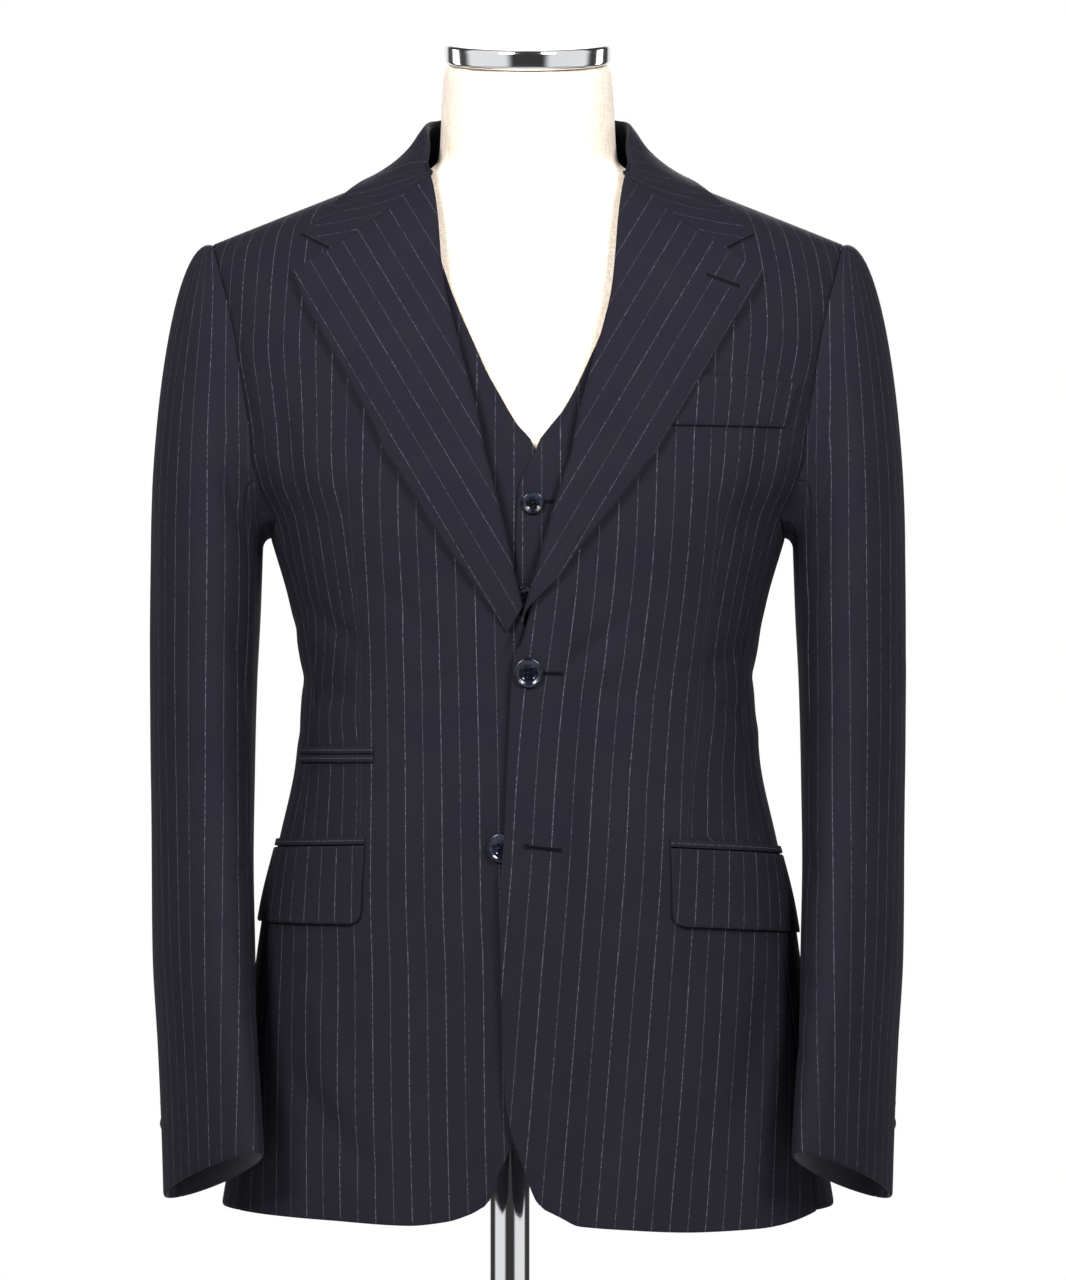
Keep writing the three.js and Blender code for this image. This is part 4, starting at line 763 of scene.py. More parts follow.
def fine_grained(name, scale, detail, dark, light, **settings):
    """A dull finish whose tone varies from grain to grain, as thread does."""
    made, tree, shader = new_finish(name, **settings)
    place = wire(tree, "ShaderNodeTexCoord").outputs["Object"]
    tone = blended(tree, grain(tree, place, scale, detail), dark, light)
    tree.links.new(tone, shader.inputs["Base Color"])
    return made


silk = fine_grained("silk_thread", 700.0, 1.0, colour(11, 11, 15), colour(24, 24, 31),
                    Roughness=0.8, Specular_IOR_Level=0.04)
thread = fine_grained("sewing_thread", 700.0, 1.0, colour(18, 17, 27), colour(34, 33, 45),
                      Roughness=0.7, Specular_IOR_Level=0.1)

waistcoat_rows = stations(110, 540)
waistcoat_pieces = {}
for name, side in (("left", 1), ("right", -1)):
    piece, outer, normals = panel(
        f"waistcoat_{name}_cloth", figure, waistcoat_front(side, WAISTCOAT_EDGES[name]),
        stripes_from_front(side * WAISTCOAT_STRIPE), WAISTCOAT_CLOTH, stations(44, 180), waistcoat_rows,
        worsted, lining, sewn=("start",))
    place_piece(piece, "worsted", f"waistcoat_front_{name}")
    lines = [inside_edge(outer, normals, "start", 0.02, 0.97), inside_edge(outer, normals, "bottom")]
    stitches = stitched(f"waistcoat_{name}_stitches", lines, thread, "worsted", step=4.6)
    waistcoat_pieces[name] = (piece, stitches)

back_piece, outer, normals = panel(
    "waistcoat_back_cloth", figure, waistcoat_back, waistcoat_back_map, WAISTCOAT_CLOTH,
    stations(80, 340), waistcoat_rows, lining, lining)
place_piece(back_piece, "worsted", "waistcoat_back")


def button_shape(name, radius, height, finish):
    """A turned button: rounded back, raised rim, dished middle and four holes through it."""
    outline = [(0, 0), (0.78, 0), (0.93, 0.12), (1, 0.45), (0.985, 0.78), (0.93, 0.97), (0.87, 1.0),
               (0.80, 0.93), (0.74, 0.72), (0.62, 0.60), (0.3, 0.54), (0, 0.53)]
    points, faces = spun_points([(r * radius, h * height) for r, h in outline], 40)
    body = build(name, points, faces, finish, sharp=70)
    drills = []
    for x, y in ((1, 1), (1, -1), (-1, 1), (-1, -1)):
        outline = [(0, -1), (0.105 * radius, -1), (0.105 * radius, height + 1), (0, height + 1)]
        points, faces = spun_points(outline, 12)
        drill = build(f"{name}_drill", points + (x * 0.17 * radius, y * 0.17 * radius, 0), faces)
        drills.append(drill)
        cut = body.modifiers.new("hole", "BOOLEAN")
        cut.object, cut.operation, cut.solver = drill, "DIFFERENCE", "EXACT"
    make_real(body)
    for drill in drills:
        bpy.data.objects.remove(drill)
    return body


def polished_horn():
    """Dark polished button: black-navy with paler clouds, and a clear gloss."""
    made, tree, shader = new_finish("polished_horn", Roughness=0.12, Specular_IOR_Level=0.3,
                                     Coat_Weight=0.25, Coat_Roughness=0.05)
    place = wire(tree, "ShaderNodeTexCoord").outputs["Object"]
    streaks = grain(tree, place, 120.0, 3.0, (1, 1, 2.6))
    base = blended(tree, ramp(tree, streaks, 0.4, 0.66), colour(11, 12, 19), colour(22, 27, 46))
    tree.links.new(base, shader.inputs["Base Color"])
    tree.links.new(ramp(tree, streaks, 0.3, 0.7, 0.1, 0.22), shader.inputs["Roughness"])
    return made


horn = polished_horn()


def frame_at(place, normal, spin=0.0):
    """A matrix that stands a shape on a place, along a normal, turned by spin."""
    z = Vector(normal).normalized()
    x = Vector((0, 0, 1)).cross(z).normalized()
    y = z.cross(x)
    turn = Matrix((x, y, z)).transposed() @ Matrix.Rotation(spin, 3, "Z")
    return Matrix.Translation(Vector(place) / 1000) @ turn.to_4x4()


def sew_button(node, shape, radius, height, place, normal, spin):
    """A button in its place, and its thread crossed through the four holes."""
    stand = frame_at(np.asarray(place), normal, spin)
    mesh = shape.data.copy()
    mesh.transform(stand)
    button = bpy.data.objects.new(f"{node}_turned", mesh)
    bpy.context.scene.collection.objects.link(button)
    place_piece(button, "button_horn", node)
    bars = []
    for turn in (0.25, 0.75):
        angle = turn * math.pi
        ends = np.linspace(-1, 1, 9)
        rise = 0.6 * height + 0.55 * (1 - ends ** 2)
        for sideways in (-0.22, 0.22):
            x = ends * 0.25 * radius * math.cos(angle) - sideways * math.sin(angle)
            y = ends * 0.25 * radius * math.sin(angle) + sideways * math.cos(angle)
            line = [stand @ Vector((a / 1000, b / 1000, c / 1000)) * 1000 for a, b, c in zip(x, y, rise)]
            bars.append((np.array([list(p) for p in line]), np.tile(normal, (9, 1))))
    stitched(f"{node}_thread", bars, silk, "button_horn", 0.5, long=0.9, wide=0.42, high=0.42, seed=3)


SMALL_BUTTON = (7.5, 2.4)
small_button = button_shape("small_button", *SMALL_BUTTON, horn)
for k, (x, rise) in enumerate([(3.5, 1225), (-1.2, 1162), (-1.5, 1100), (-1.5, 1038), (-1.5, 976)], 1):
    angle = float(figure.angle_at(x, rise))
    out = float(waistcoat_out(rise)) + WAISTCOAT_LAP + 0.35
    place, normal = figure.point(angle, rise, out), figure.normal(angle, rise)
    sew_button(f"waistcoat_button_{k}", small_button, *SMALL_BUTTON, place, normal, 0.2 * k)
bpy.data.objects.remove(small_button)


def buttonhole(name, spot, start, end, eyelet=1.5, tack=1.4):
    """A worked buttonhole: thread laid close round a slit, with an eyelet at its start and a
    bar tack at its end. spot gives a point and its normal for a place across and a rise."""
    start, end = np.array(start, float), np.array(end, float)
    along = (end - start) / np.linalg.norm(end - start)
    side = np.array([-along[1], along[0]])
    length = np.linalg.norm(end - start)
    loop = [start + along * eyelet * (1 - math.cos(a)) + side * eyelet * math.sin(a)
            for a in np.linspace(0.75 * math.pi, -0.75 * math.pi, 16)]
    lower = [start + along * d - side * 0.75 for d in np.arange(2.2 * eyelet, length, 1.0)]
    upper = [start + along * d + side * 0.75 for d in np.arange(length, 2.2 * eyelet, -1.0)]
    round_it = [*loop, *lower, *upper, loop[0]]
    bar = [end + along * 0.4 - side * tack, end + along * 0.4, end + along * 0.4 + side * tack]
    slit = [start + along * d for d in np.arange(eyelet, length, 1.0)]

    def on_cloth(path):
        spots = [spot(x, z) for x, z in path]
        return np.array([p for p, _ in spots]), np.array([n for _, n in spots])

    return [
        stitched(name, [on_cloth(round_it)], silk, "worsted", 0.62, long=0.7, wide=1.6, high=0.8, seed=5),
        stitched(f"{name}_tack", [on_cloth(bar)], silk, "worsted", 0.5, long=0.7, wide=1.3, high=0.9,
                 seed=6),
        stitched(f"{name}_slit", [on_cloth(slit)], dark_gap, "worsted", 0.8, long=1.4, wide=0.5, high=0.5,
                 seed=7),
    ]


dark_gap = fine_grained("shadowed_gap", 300.0, 2.0, colour(5, 5, 7), colour(10, 10, 13),
                        Roughness=1.0, Specular_IOR_Level=0.0)


def spot_at(x, rise, out):
    """A point on the figure's front and its normal there."""
    angle = figure.angle_at(x, rise)
    return figure.point(angle, rise, out), figure.normal(angle, rise)


def on_waistcoat(x, rise):
    return spot_at(x, rise, waistcoat_out(rise) + WAISTCOAT_LAP + 0.1)


holes = buttonhole("waistcoat_hole_1", on_waistcoat, (9.0, 1225.6), (17.5, 1226), eyelet=0.9, tack=1.0)
for name, area in (("left", 0.089), ("right", 0.091)):
    piece, stitches = waistcoat_pieces[name]


# ---- Jacket fronts ----
# Single breasted with two buttons, cut away below them. Each front runs from the hem to the
# shoulder seam, with a dart from the chest to the pocket that takes cloth in at the waist.

HEM = 739
BREAK = 1140
FRONT_EDGES = {
    "right": {"rise": [749, 756, 768, 793, 812, 850, 930, 1111, 1140, 1160, 1200, 1257, 1287,
                       1306, 1324, 1341, 1374, 1412, 1480],
              "across": [29.3, 24.4, 20.8, 9.5, 3, -6, -11, -12, -3, 4.4, 14, 28.7, 43,
                         50.5, 56.3, 58.8, 61.5, 66, 77]},
    "left": {"rise": [748, 755, 774, 793, 825, 884, 960, 1001, 1039, 1112, 1126, 1140, 1160,
                      1180, 1205, 1257, 1285, 1306, 1324, 1341, 1374, 1412, 1480],
             "across": [11, 4.8, -2, -9.2, -15.2, -17.4, -18.6, -15.8, -14, -10.6, -10, -6.6, -0.7,
                        5.5, 12.6, 29, 42.6, 51.5, 56.8, 59, 61.8, 66, 77]},
}
HEMS = {"right": {"across": [29.3, 36, 48, 68, 114, 205], "rise": [749, 743.5, 738, 735, 737, HEM]},
        "left": {"across": [11, 18, 27, 43, 94, 135, 205],
                 "rise": [748, 742.5, 735.5, 733, 729.5, 730, HEM]}}
SEAM_LINES = {
    "front": {"rise": [735, 1050, ARMPIT, 1242, 1270, 1300, 1346, 1400, 1480],
              "angle": [68, 67, 70, 63.5, 60, 60, 61.6, 64.5, 67.3]},
    "back": {"rise": [735, 1050, ARMPIT, 1242, 1270, 1300, 1346, 1400, 1480],
             "angle": [112, 113, 110, 116, 118, 118.5, 118, 115.5, 112.7]},
}
DART_TOP = 1262
DARTS = {
    "right": {"rise": [996, 1039, 1091, 1133, 1175, 1216, 1240, DART_TOP],
              "across": [114, 114, 114, 114.5, 118, 121, 121, 121],
              "take_up": [15, 15, 13, 16, 11, 7, 1.5, 0]},
    "left": {"rise": [988, 1039, 1091, 1133, 1175, 1216, 1240, DART_TOP],
             "across": [107, 111, 116, 120, 125, 128, 128, 128],
             "take_up": [17, 17, 13, 15, 12, 6, 1.5, 0]},
}
POCKET_MOUTHS = {"right": (997, 992), "left": (996, 987.5)}
POCKET_ANGLES = (32, 84)
STRIPES_CLOSE = {"beyond": 122, "rate": 0.2, "from": (1090, 1140), "to": (1255, 1320)}
STRIPE_START = {
    "right": {"rise": [750, 814, 911, 953, 1039, 1133, 1175, 1216, 1258, 1285, 1324, 1409, 1446, 1480],
              "across": [15, 16.5, 17.5, 19, 20, 22, 23, 24.5, 23, 21, 17.5, 11.5, 5, 0]},
    "left": {"rise": [750, 828, 911, 980, 1039, 1091, 1133, 1175, 1216, 1258, 1284, 1320, 1409, 1446, 1480],
             "across": [-16.5, -10, -3.5, 2, 5.5, 10, 15.5, 20.5, 23, 23.5, 26, 27, 18, 11, 6]},
}

front_seam = curve_through(SEAM_LINES["front"]["rise"], np.radians(SEAM_LINES["front"]["angle"]))
back_seam = curve_through(SEAM_LINES["back"]["rise"], np.radians(SEAM_LINES["back"]["angle"]))
front_edge = {name: curve_of(table, "across") for name, table in FRONT_EDGES.items()}


def front_lift(side, angle, rise):
    """How far the left front stands out near its edge, where it laps the right one."""
    lap = 6 * fade_out(figure.across_at(angle, rise), 16, 46) * fade_out(rise, 1155, 1210)
    return lap if side > 0 else 0 * lap


def front_place(name):
    """Where a jacket front's face lies, from its edge to the side seam."""
    side = 1 if name == "left" else -1
    edge = front_edge[name]
    hem = curve_of(HEMS[name], "rise", over="across")
    start_across, start_rise = HEMS[name]["across"][0], HEMS[name]["rise"][0]

    def place(s, t):
        rise = row_rise(t * ROWS, hem(mix(start_across, 200, s)))
        setback = 4.4 * fade_in(rise, BREAK - 30, BREAK)
        start = figure.angle_at(edge(np.maximum(rise, start_rise)) + setback, rise)
        seam = figure.move_round(front_seam(rise), rise, -SEAM / 2)
        angle = mix(start, seam, s)
        return side * angle, rise, front_lift(side, angle, rise)

    return place


def front_map(name, darted=True):
    """The flat cloth of a front: each stripe keeps its distance round the body from the line
    where the stripes start. Beyond the dart they close up, and more so towards the armhole."""
    side = 1 if name == "left" else -1
    start = curve_of(STRIPE_START[name], "across")
    dart = {key: curve_of(DARTS[name], key) for key in ("across", "take_up")}
    near, far = POCKET_MOUTHS[name]

    def flat(angle, rise):
        level = np.minimum(rise, TOP_OF_CHEST)
        turn = side * angle
        round_it = np.sign(turn) * figure.arc(np.abs(turn), level) * figure.half(rise) / figure.half(level)
        u = round_it - start(rise) + 0.5 * STRIPE_PITCH
        u += STRIPES_CLOSE["rate"] * np.maximum(round_it - STRIPES_CLOSE["beyond"], 0) \
            * fade_in(rise, *STRIPES_CLOSE["from"]) * fade_out(rise, *STRIPES_CLOSE["to"])
        if darted:
            first, last = POCKET_ANGLES
            mouth = mix(near, far, np.clip((np.degrees(turn) - first) / (last - first), 0, 1))
            within = fade_in(rise, mouth - 3, mouth + 2) * np.where(rise < DART_TOP, 1, 0)
            line = dart["across"](rise)
            beyond = fade_in(np.abs(figure.across_at(angle, rise)), line - 2, line + 2)
            u += dart["take_up"](rise) * beyond * within
        return np.stack([u, rise + 0 * u], axis=-1)

    return flat


FRONT_MAPS = {name: front_map(name) for name in ("left", "right")}
FRONT_FOLDS = {
    "right": [
        ((-26, 1095), (-27, 790), -2.0, 7),
        ((-158, 1160), (-108, 1122), -2.2, 7),
        ((-160, 1092), (-118, 1100), -2.0, 6),
        ((-150, 1074), (-100, 1084), 1.1, 7),
        ((-104, 1172), (-52, 1122), -1.5, 9),
        ((-88, 1098), (-34, 1108), -1.2, 7),
        ((-170, 845), (-98, 760), -2.6, 9),
        ((-150, 905), (-118, 780), 1.8, 13),
        ((-62, 930), (-58, 762), -1.8, 13),
        ((-170, 1290), (-150, 1210), -1.8, 8),
        ((-196, 1345), (-172, 1262), 1.5, 9),
    ],
    "left": [
        ((72, 1152), (22, 1112), -2.4, 5),
        ((88, 1128), (26, 1104), 1.2, 8),
        ((96, 1090), (34, 1101), -1.2, 7),
        ((160, 1138), (118, 1110), -1.9, 8),
        ((158, 1080), (128, 1086), -1.6, 6),
        ((60, 1060), (92, 1012), -1.2, 9),
        ((168, 905), (140, 780), -2.2, 11),
        ((70, 920), (58, 765), -1.8, 13),
        ((120, 900), (104, 770), 1.5, 12),
        ((168, 1284), (146, 1196), -1.9, 8),
        ((196, 1340), (174, 1256), 1.4, 9),
    ],
}
front_rows = stations(150, 700)
fronts = {}
for name in ("left", "right"):
    piece, outer, normals = panel(
        f"jacket_front_{name}_cloth", figure, front_place(name), FRONT_MAPS[name], CLOTH,
        stations(76, 205), front_rows, worsted, lining, FRONT_FOLDS[name], sewn=("start", "bottom"))
    place_piece(piece, "worsted", f"jacket_front_{name}")
    lines = [inside_edge(outer, normals, "start", 0.015, 0.53),
             inside_edge(outer, normals, "bottom", 0.0, 0.12)]
    stitches = stitched(f"jacket_front_{name}_stitches", lines, thread, "worsted")
    fronts[name] = [piece, stitches]


def on_left_front(x, rise):
    return spot_at(x, rise, front_lift(1, figure.angle_at(x, rise), rise) + 0.1)


fronts["left"] += buttonhole("jacket_hole_upper", on_left_front, (0, 1111.4), (22.5, 1110.6))
fronts["left"] += buttonhole("jacket_hole_lower", on_left_front, (-2.6, 994.8), (21.6, 992.2))
for name in ("left", "right"):
    piece, *extras = fronts[name]


# ---- Jacket sides and backs ----
# A narrow side panel closes each flank up to the armhole. The back is two pieces joined
# down the centre, which run over the shoulder blades to the neck and the shoulder seams.

UNDERARM_DIP = 12
BACK_FOLDS = {
    "left": [
        ((150, 1142), (66, 1104), -1.7, 9),
        ((148, 1096), (88, 1078), -1.3, 7),
        ((142, 1060), (96, 1052), 1.0, 9),
        ((164, 1330), (128, 1228), 1.6, 13),
        ((140, 1290), (116, 1190), -1.5, 11),
        ((74, 1000), (86, 790), -1.8, 17),
        ((34, 1372), (96, 1392), -1.2, 8),
    ],
    "right": [
        ((-152, 1130), (-78, 1112), -1.5, 8),
        ((-150, 1088), (-70, 1066), -1.6, 8),
        ((-160, 1322), (-132, 1240), 1.5, 12),
        ((-136, 1300), (-110, 1182), -1.6, 12),
        ((-66, 990), (-92, 800), -1.7, 18),
        ((-120, 960), (-128, 850), 1.2, 13),
        ((-30, 1370), (-90, 1394), -1.1, 8),
    ],
}
SIDE_FOLDS = {
    "left": [
        ((-46, 1118), (44, 1096), -1.4, 8),
        ((48, 1160), (-14, 1138), -1.0, 7),
        ((-40, 1066), (30, 1074), 0.9, 8),
        ((8, 1000), (20, 800), -1.3, 13),
    ],
    "right": [
        ((46, 1112), (-44, 1102), -1.5, 8),
        ((-46, 1152), (18, 1134), -1.0, 7),
        ((44, 1078), (-20, 1068), -0.9, 6),
        ((2, 990), (14, 790), -1.4, 12),
    ],
}


def underarm_rise(share):
    """How high the side panel's top lies: it dips in the middle."""
    return ARMPIT - UNDERARM_DIP * np.sin(math.pi * share)


def side_place(side):
    """Where a side panel's face lies, from the front's seam to the back's."""
    def place(s, t):
        rise = mix(HEM, underarm_rise(s), t)
        start = figure.move_round(front_seam(rise), rise, SEAM / 2)
        end = figure.move_round(back_seam(rise), rise, -SEAM / 2)
        return side * mix(start, end, s), rise, 0 * rise

    return place


def back_top(angle):
    """How high the back runs: hollowed at the neck, then along the shoulder seam."""
    across = figure.across_at(np.abs(angle), TOP)
    return mix(1390, TOP - 0.4, np.minimum(across / 80, 1) ** 2.4)


def back_place(side):
    """Where a back's face lies, from its side seam to the centre."""
    def place(s, t):
        level = row_rise(t * ROWS, HEM)
        seam, centre = (figure.move_round(line, level, gap) for line, gap in
                        ((back_seam(level), SEAM / 2), (np.full_like(level, math.pi), -SEAM / 2)))
        rise = row_rise(t * ROWS, HEM, back_top(mix(seam, centre, s)))
        seam, centre = (figure.move_round(line, rise, gap) for line, gap in
                        ((back_seam(rise), SEAM / 2), (np.full_like(rise, math.pi), -SEAM / 2)))
        return side * mix(seam, centre, s), rise, 0 * rise

    return place


def back_map(side):
    """The flat cloth of a back: stripes keep their distance from the centre seam."""
    def flat(angle, rise):
        level = np.minimum(rise, TOP_OF_CHEST)
        whole = figure.arc(np.full_like(rise, 0.999 * math.pi), level)
        from_centre = (whole - figure.arc(np.abs(angle), level)) * figure.half(rise) / figure.half(level)
        return np.stack([-side * from_centre, rise], axis=-1)

    return flat


def side_map(side):
    """The flat cloth of a side panel: stripes keep their distance from its middle."""
    def flat(angle, rise):
        from_side = figure.arc(np.abs(angle), rise) - figure.arc(np.full_like(rise, math.pi / 2), rise)
        return np.stack([side * from_side, rise], axis=-1)

    return flat


for name, side in (("left", 1), ("right", -1)):
    piece, outer, normals = panel(
        f"jacket_side_{name}_cloth", figure, side_place(side), side_map(side), CLOTH,
        stations(30, 110), stations(110, 476), worsted, lining, SIDE_FOLDS[name], seen=1)
    place_piece(piece, "worsted", f"jacket_side_{name}")
    piece, outer, normals = panel(
        f"jacket_back_{name}_cloth", figure, back_place(side), back_map(side), CLOTH,
        stations(60, 190), front_rows, worsted, lining, BACK_FOLDS[name])
    place_piece(piece, "worsted", f"jacket_back_{name}")


def pressed_open(name, turning, thick, rows):
    """The turnings of the centre-back seam, pressed open behind it."""
    across, level = np.meshgrid(np.linspace(-1, 1, 9), rows, indexing="ij")
    angle = math.pi - np.abs(across) * turning / np.maximum(figure.half(level), 1)
    mirror = np.stack([np.where(across < 0, -1, 1), np.ones_like(across), np.ones_like(across)], axis=-1)
    depth = CLOTH + 0.15
    outer, inner = (figure.point(angle, level, -out) * mirror for out in (depth, depth + thick))
    flat = np.stack([across * turning, level], axis=-1)
    return shell(name, outer, inner, flat, worsted, lining)


seam_rows = np.linspace(HEM + 2, 1340, 90)
place_piece(pressed_open("centre_back_turnings", 7.0, 0.5, seam_rows), "worsted")


# ---- Lapels ----
# Wide notched lapels, turned over along a soft roll from the break to the gorge. Their
# stripes run along the outer edge, which is hand stitched like the rest of the edges.

FOLD = {"out_in": [1.0, -0.6, 0.4, 4.0, 10], "out": [-1.3, 0.7, 3.0, 4.1, 3.9],
        "under_in": [2.4, 1.5, 2.0, 4.5, 10], "under": [-0.8, 0.5, 1.4, 2.1, 1.9]}
LAPEL_OUT = 3.4
LAPEL_STRIPE = 7.0
LAPEL_LOW = (23, 1153)
LAPEL_CORNER = (158.5, 1361)
LAPEL_AT_HOLE = {"roll": 62, "width": 96, "v": 0.93}
GORGE = {"share": [0, 0.34, 0.72, 1], "across": [66, 97, 133, 158.5], "rise": [1412, 1388, 1370.5, 1361]}
LAPELS = {
    "right": {"roll": 1156, "edge": 1139,
              "rise": [1139, 1155.5, 1172, 1191, 1211, 1230, 1248, 1262, 1273, 1285, 1300, 1318, 1334,
                       1361],
              "across": [13.5, 25, 36.5, 50, 64, 75.8, 87, 98, 108.5, 118.5, 129.5, 141, 149.3, 158.5]},
    "left": {"roll": 1131, "edge": 1141,
             "rise": [1141, 1153, 1161, 1173, 1192, 1210, 1224, 1242, 1258, 1267, 1275, 1285, 1300,
                      1328, 1345, 1361],
             "across": [-3.5, -1, 6, 18, 32.5, 46.5, 58, 72, 84.5, 96, 104.5, 113.5, 124.5, 143, 152.5,
                        158.5]},
}


# The stripes show fainter on the lapels and the collar.
facing_worsted = pinstriped_worsted("facing_worsted", stripe=0.62)


def drawn_through(points, steps):
    """A rounded curve through points along their first axis, with a number of steps a span."""
    p = np.concatenate([2 * points[:1] - points[1:2], points, 2 * points[-1:] - points[-2:-1]])
    out = []
    for k in range(1, len(p) - 2):
        a, b, c, d = p[k - 1:k + 3]
        before, span, after = (np.maximum(np.linalg.norm(m - n, axis=-1, keepdims=True), 1e-9) ** 0.5
                               for m, n in ((a, b), (b, c), (c, d)))
        leave = ((b - a) / before - (c - a) / (before + span) + (c - b) / span) * span
        reach = ((c - b) / span - (d - b) / (span + after) + (d - c) / after) * span
        for t in np.arange(steps) / steps:
            square = (3 * (c - b) - 2 * leave - reach) * t ** 2
            out.append(b + leave * t + square + (2 * (b - c) + leave + reach) * t ** 3)
    return np.array([*out, points[-1]])


def lapel_spring(share, v):
    """How far the lapel springs off the front: at its outer edge, and in a soft belly low down."""
    belly = 1.2 * np.sin(math.pi * np.clip(share, 0, 1)) * fade_out(v, 0.3, 0.9)
    return belly + 1.5 * fade_in(share, 0.35, 1.0) * fade_in(v, 0.02, 0.2)


def lapel_grids(name):
    """The lapel's face and its underside, from the roll line to the edge in each row."""
    side, table, edge = (1 if name == "left" else -1), LAPELS[name], front_edge[name]
    outline = curve_of(table, "across")
    v = stations(72, 300)[None, :]
    roll_rise = mix(table["roll"], GORGE["rise"][0], v)
    edge_rise = mix(table["edge"], GORGE["rise"][-1], v)
    roll = edge(roll_rise)
    width = np.maximum(outline(edge_rise) - roll, 3)
    shrink = np.minimum(1, width / 24)
    reach = width / shrink

    def place(inset, height):
        share = inset * shrink / width
        on_gorge = np.clip(share, 0, 1)
        bow_across, bow_rise = (
            np.interp(on_gorge, GORGE["share"], GORGE[key]) - mix(GORGE[key][0], GORGE[key][-1], share)
            for key in ("across", "rise"))
        bend = np.where(share > 0, v ** 4, 0)
        rise = mix(roll_rise, edge_rise, share) + bend * bow_rise
        across = roll + inset * shrink + bend * bow_across
        angle = figure.angle_at(across, rise)
        return side * angle, rise, height + front_lift(side, angle, rise) + lapel_spring(share, v)

    given = [FOLD[key] for key in ("out_in", "out", "under_in", "under")]
    fold = drawn_through(np.stack(given, axis=1), 4)
    inward = np.concatenate([np.linspace(0, 1, 30)[1:] * 0.97, [0.978, 0.987, 0.994, 1.0]])
    faces = []
    for inset_column, height_column, flat in ((0, 1, LAPEL_OUT), (2, 3, LAPEL_OUT - CLOTH)):
        insets = np.concatenate([np.repeat(fold[:, inset_column, None], v.shape[1], axis=1),
                                 10 + inward[:, None] * (reach - 10)])
        heights = np.concatenate([fold[:, height_column], mix(fold[-1, height_column], flat,
                                                              fade_in(inward, 0, 0.26))])[:, None]
        faces.append(place(insets, heights))
    return side, v, faces


def lapel_line(points):
    """Distance from the line of the lapel's outer edge, seen from the front, and along it."""
    low, high = (spot_at(x, rise, 0)[0] for x, rise in (LAPEL_LOW, LAPEL_CORNER))
    run, climb = high[0] - low[0], high[2] - low[2]
    length = math.hypot(run, climb)
    x, z = np.abs(points[..., 0]) - low[0], points[..., 2] - low[2]
    return (x * climb - z * run) / length, (x * run + z * climb) / length


lapels = {}
for name in ("left", "right"):
    side, v, (face, under) = lapel_grids(name)
    outer = figure.point(face[0], face[1], face[2])
    inner = figure.point(under[0], under[1], under[2])
    normals = figure.normal(face[0], face[1])
    off, along = lapel_line(outer)
    distances = edge_distances(outer)
    sink = sum(turned_over(distances[edge], 0.55) + pulled_in(distances[edge]) for edge in ("end", "top"))
    cloth_map = np.stack([side * (off + LAPEL_STRIPE), along], axis=-1)
    piece = shell(f"lapel_{name}_cloth", outer - normals * sink[..., None], inner, cloth_map,
                  facing_worsted, worsted)
    place_piece(piece, "worsted", f"lapel_{name}")
    lines = [inside_edge(outer, normals, "end", 0.06, 0.985),
             inside_edge(outer, normals, "top", 0.75, 0.98)]
    stitches = stitched(f"lapel_{name}_stitches", lines, thread, "worsted", seed=8)
    lapels[name] = [piece, stitches]


def on_left_lapel(x, rise):
    share = (x - LAPEL_AT_HOLE["roll"]) / LAPEL_AT_HOLE["width"]
    return spot_at(x, rise, LAPEL_OUT + 0.15 + lapel_spring(share, LAPEL_AT_HOLE["v"]))


lapels["left"] += buttonhole("lapel_hole", on_left_lapel, (141.5, 1342.6), (120.3, 1344.9), eyelet=1.2)
for name in ("left", "right"):
    piece, *extras = lapels[name]


# ---- Collar ----
# A stand round the neck turned over into a leaf, which is widest at the back and ends in
# two tips beside the notches. It is one piece, eased round the neck with an iron.

COLLAR_OUT = 3.3
FOOT_GAP = 5.3
GORGE_GAP = 0.9
COLLAR_STATIONS = {
    "crest_x": [0, 24, 46, 61, 68, 69, 68], "crest_y": [74, 70, 55, 32, 8, -14, -34],
    "crest_z": [1504, 1503.5, 1501, 1497, 1493, 1486.5, 1475],
    "foot_angle": [180, 174, 169, 165, 163.4, 16.8, 16], "foot_rise": [0, 0, 0, 0, 0, 1470, 1448],
    "leaf_angle": [180, 173, 166, 160, 156.5, 26.5, 30.5],
    "leaf_rise": [1374, 1377, 1388, 1415, 1452, 1472, 1436],
}
TIP = {"across": 153.5, "rise": 1398, "section": 1424}
LEAF_HOLLOW = {"share": 0.36, "lean": 0.95, "reach": 74}
CLEAR_OF_NECK = 84
SHOULDER_REACH = 60


def collar_section(station):
    """The collar's face at a station: up the stand, over the crest and down the leaf."""
    at = {key: column[station] for key, column in COLLAR_STATIONS.items()}
    crest = np.array([at["crest_x"], at["crest_y"], at["crest_z"]], float)
    foot_angle = math.radians(at["foot_angle"])
    foot_rise = at["foot_rise"] or float(back_top(foot_angle)) + FOOT_GAP
    foot = figure.point(foot_angle, foot_rise, -0.6)
    edge = figure.point(math.radians(at["leaf_angle"]), at["leaf_rise"], COLLAR_OUT)
    outward = unit((edge - crest) * (1, 1, 0))

    def beside(out, fall):
        return crest + outward * out - (0, 0, fall)

    start = beside(6.5, 4.5)
    drop = edge - start
    hollow = start + drop * LEAF_HOLLOW["share"]
    hollow[2] += drop[2] * LEAF_HOLLOW["share"] * LEAF_HOLLOW["lean"] \
        * max(0, 1 - abs(crest[1]) / LEAF_HOLLOW["reach"])
    leaf = [(1 - t) ** 2 * start + 2 * t * (1 - t) * hollow + t * t * edge
            for t in (0, 0.25, 0.5, 0.75, 1)]
    return np.array([foot, (foot + crest) / 2, beside(-0.8, 4), beside(1.8, 0), *leaf])


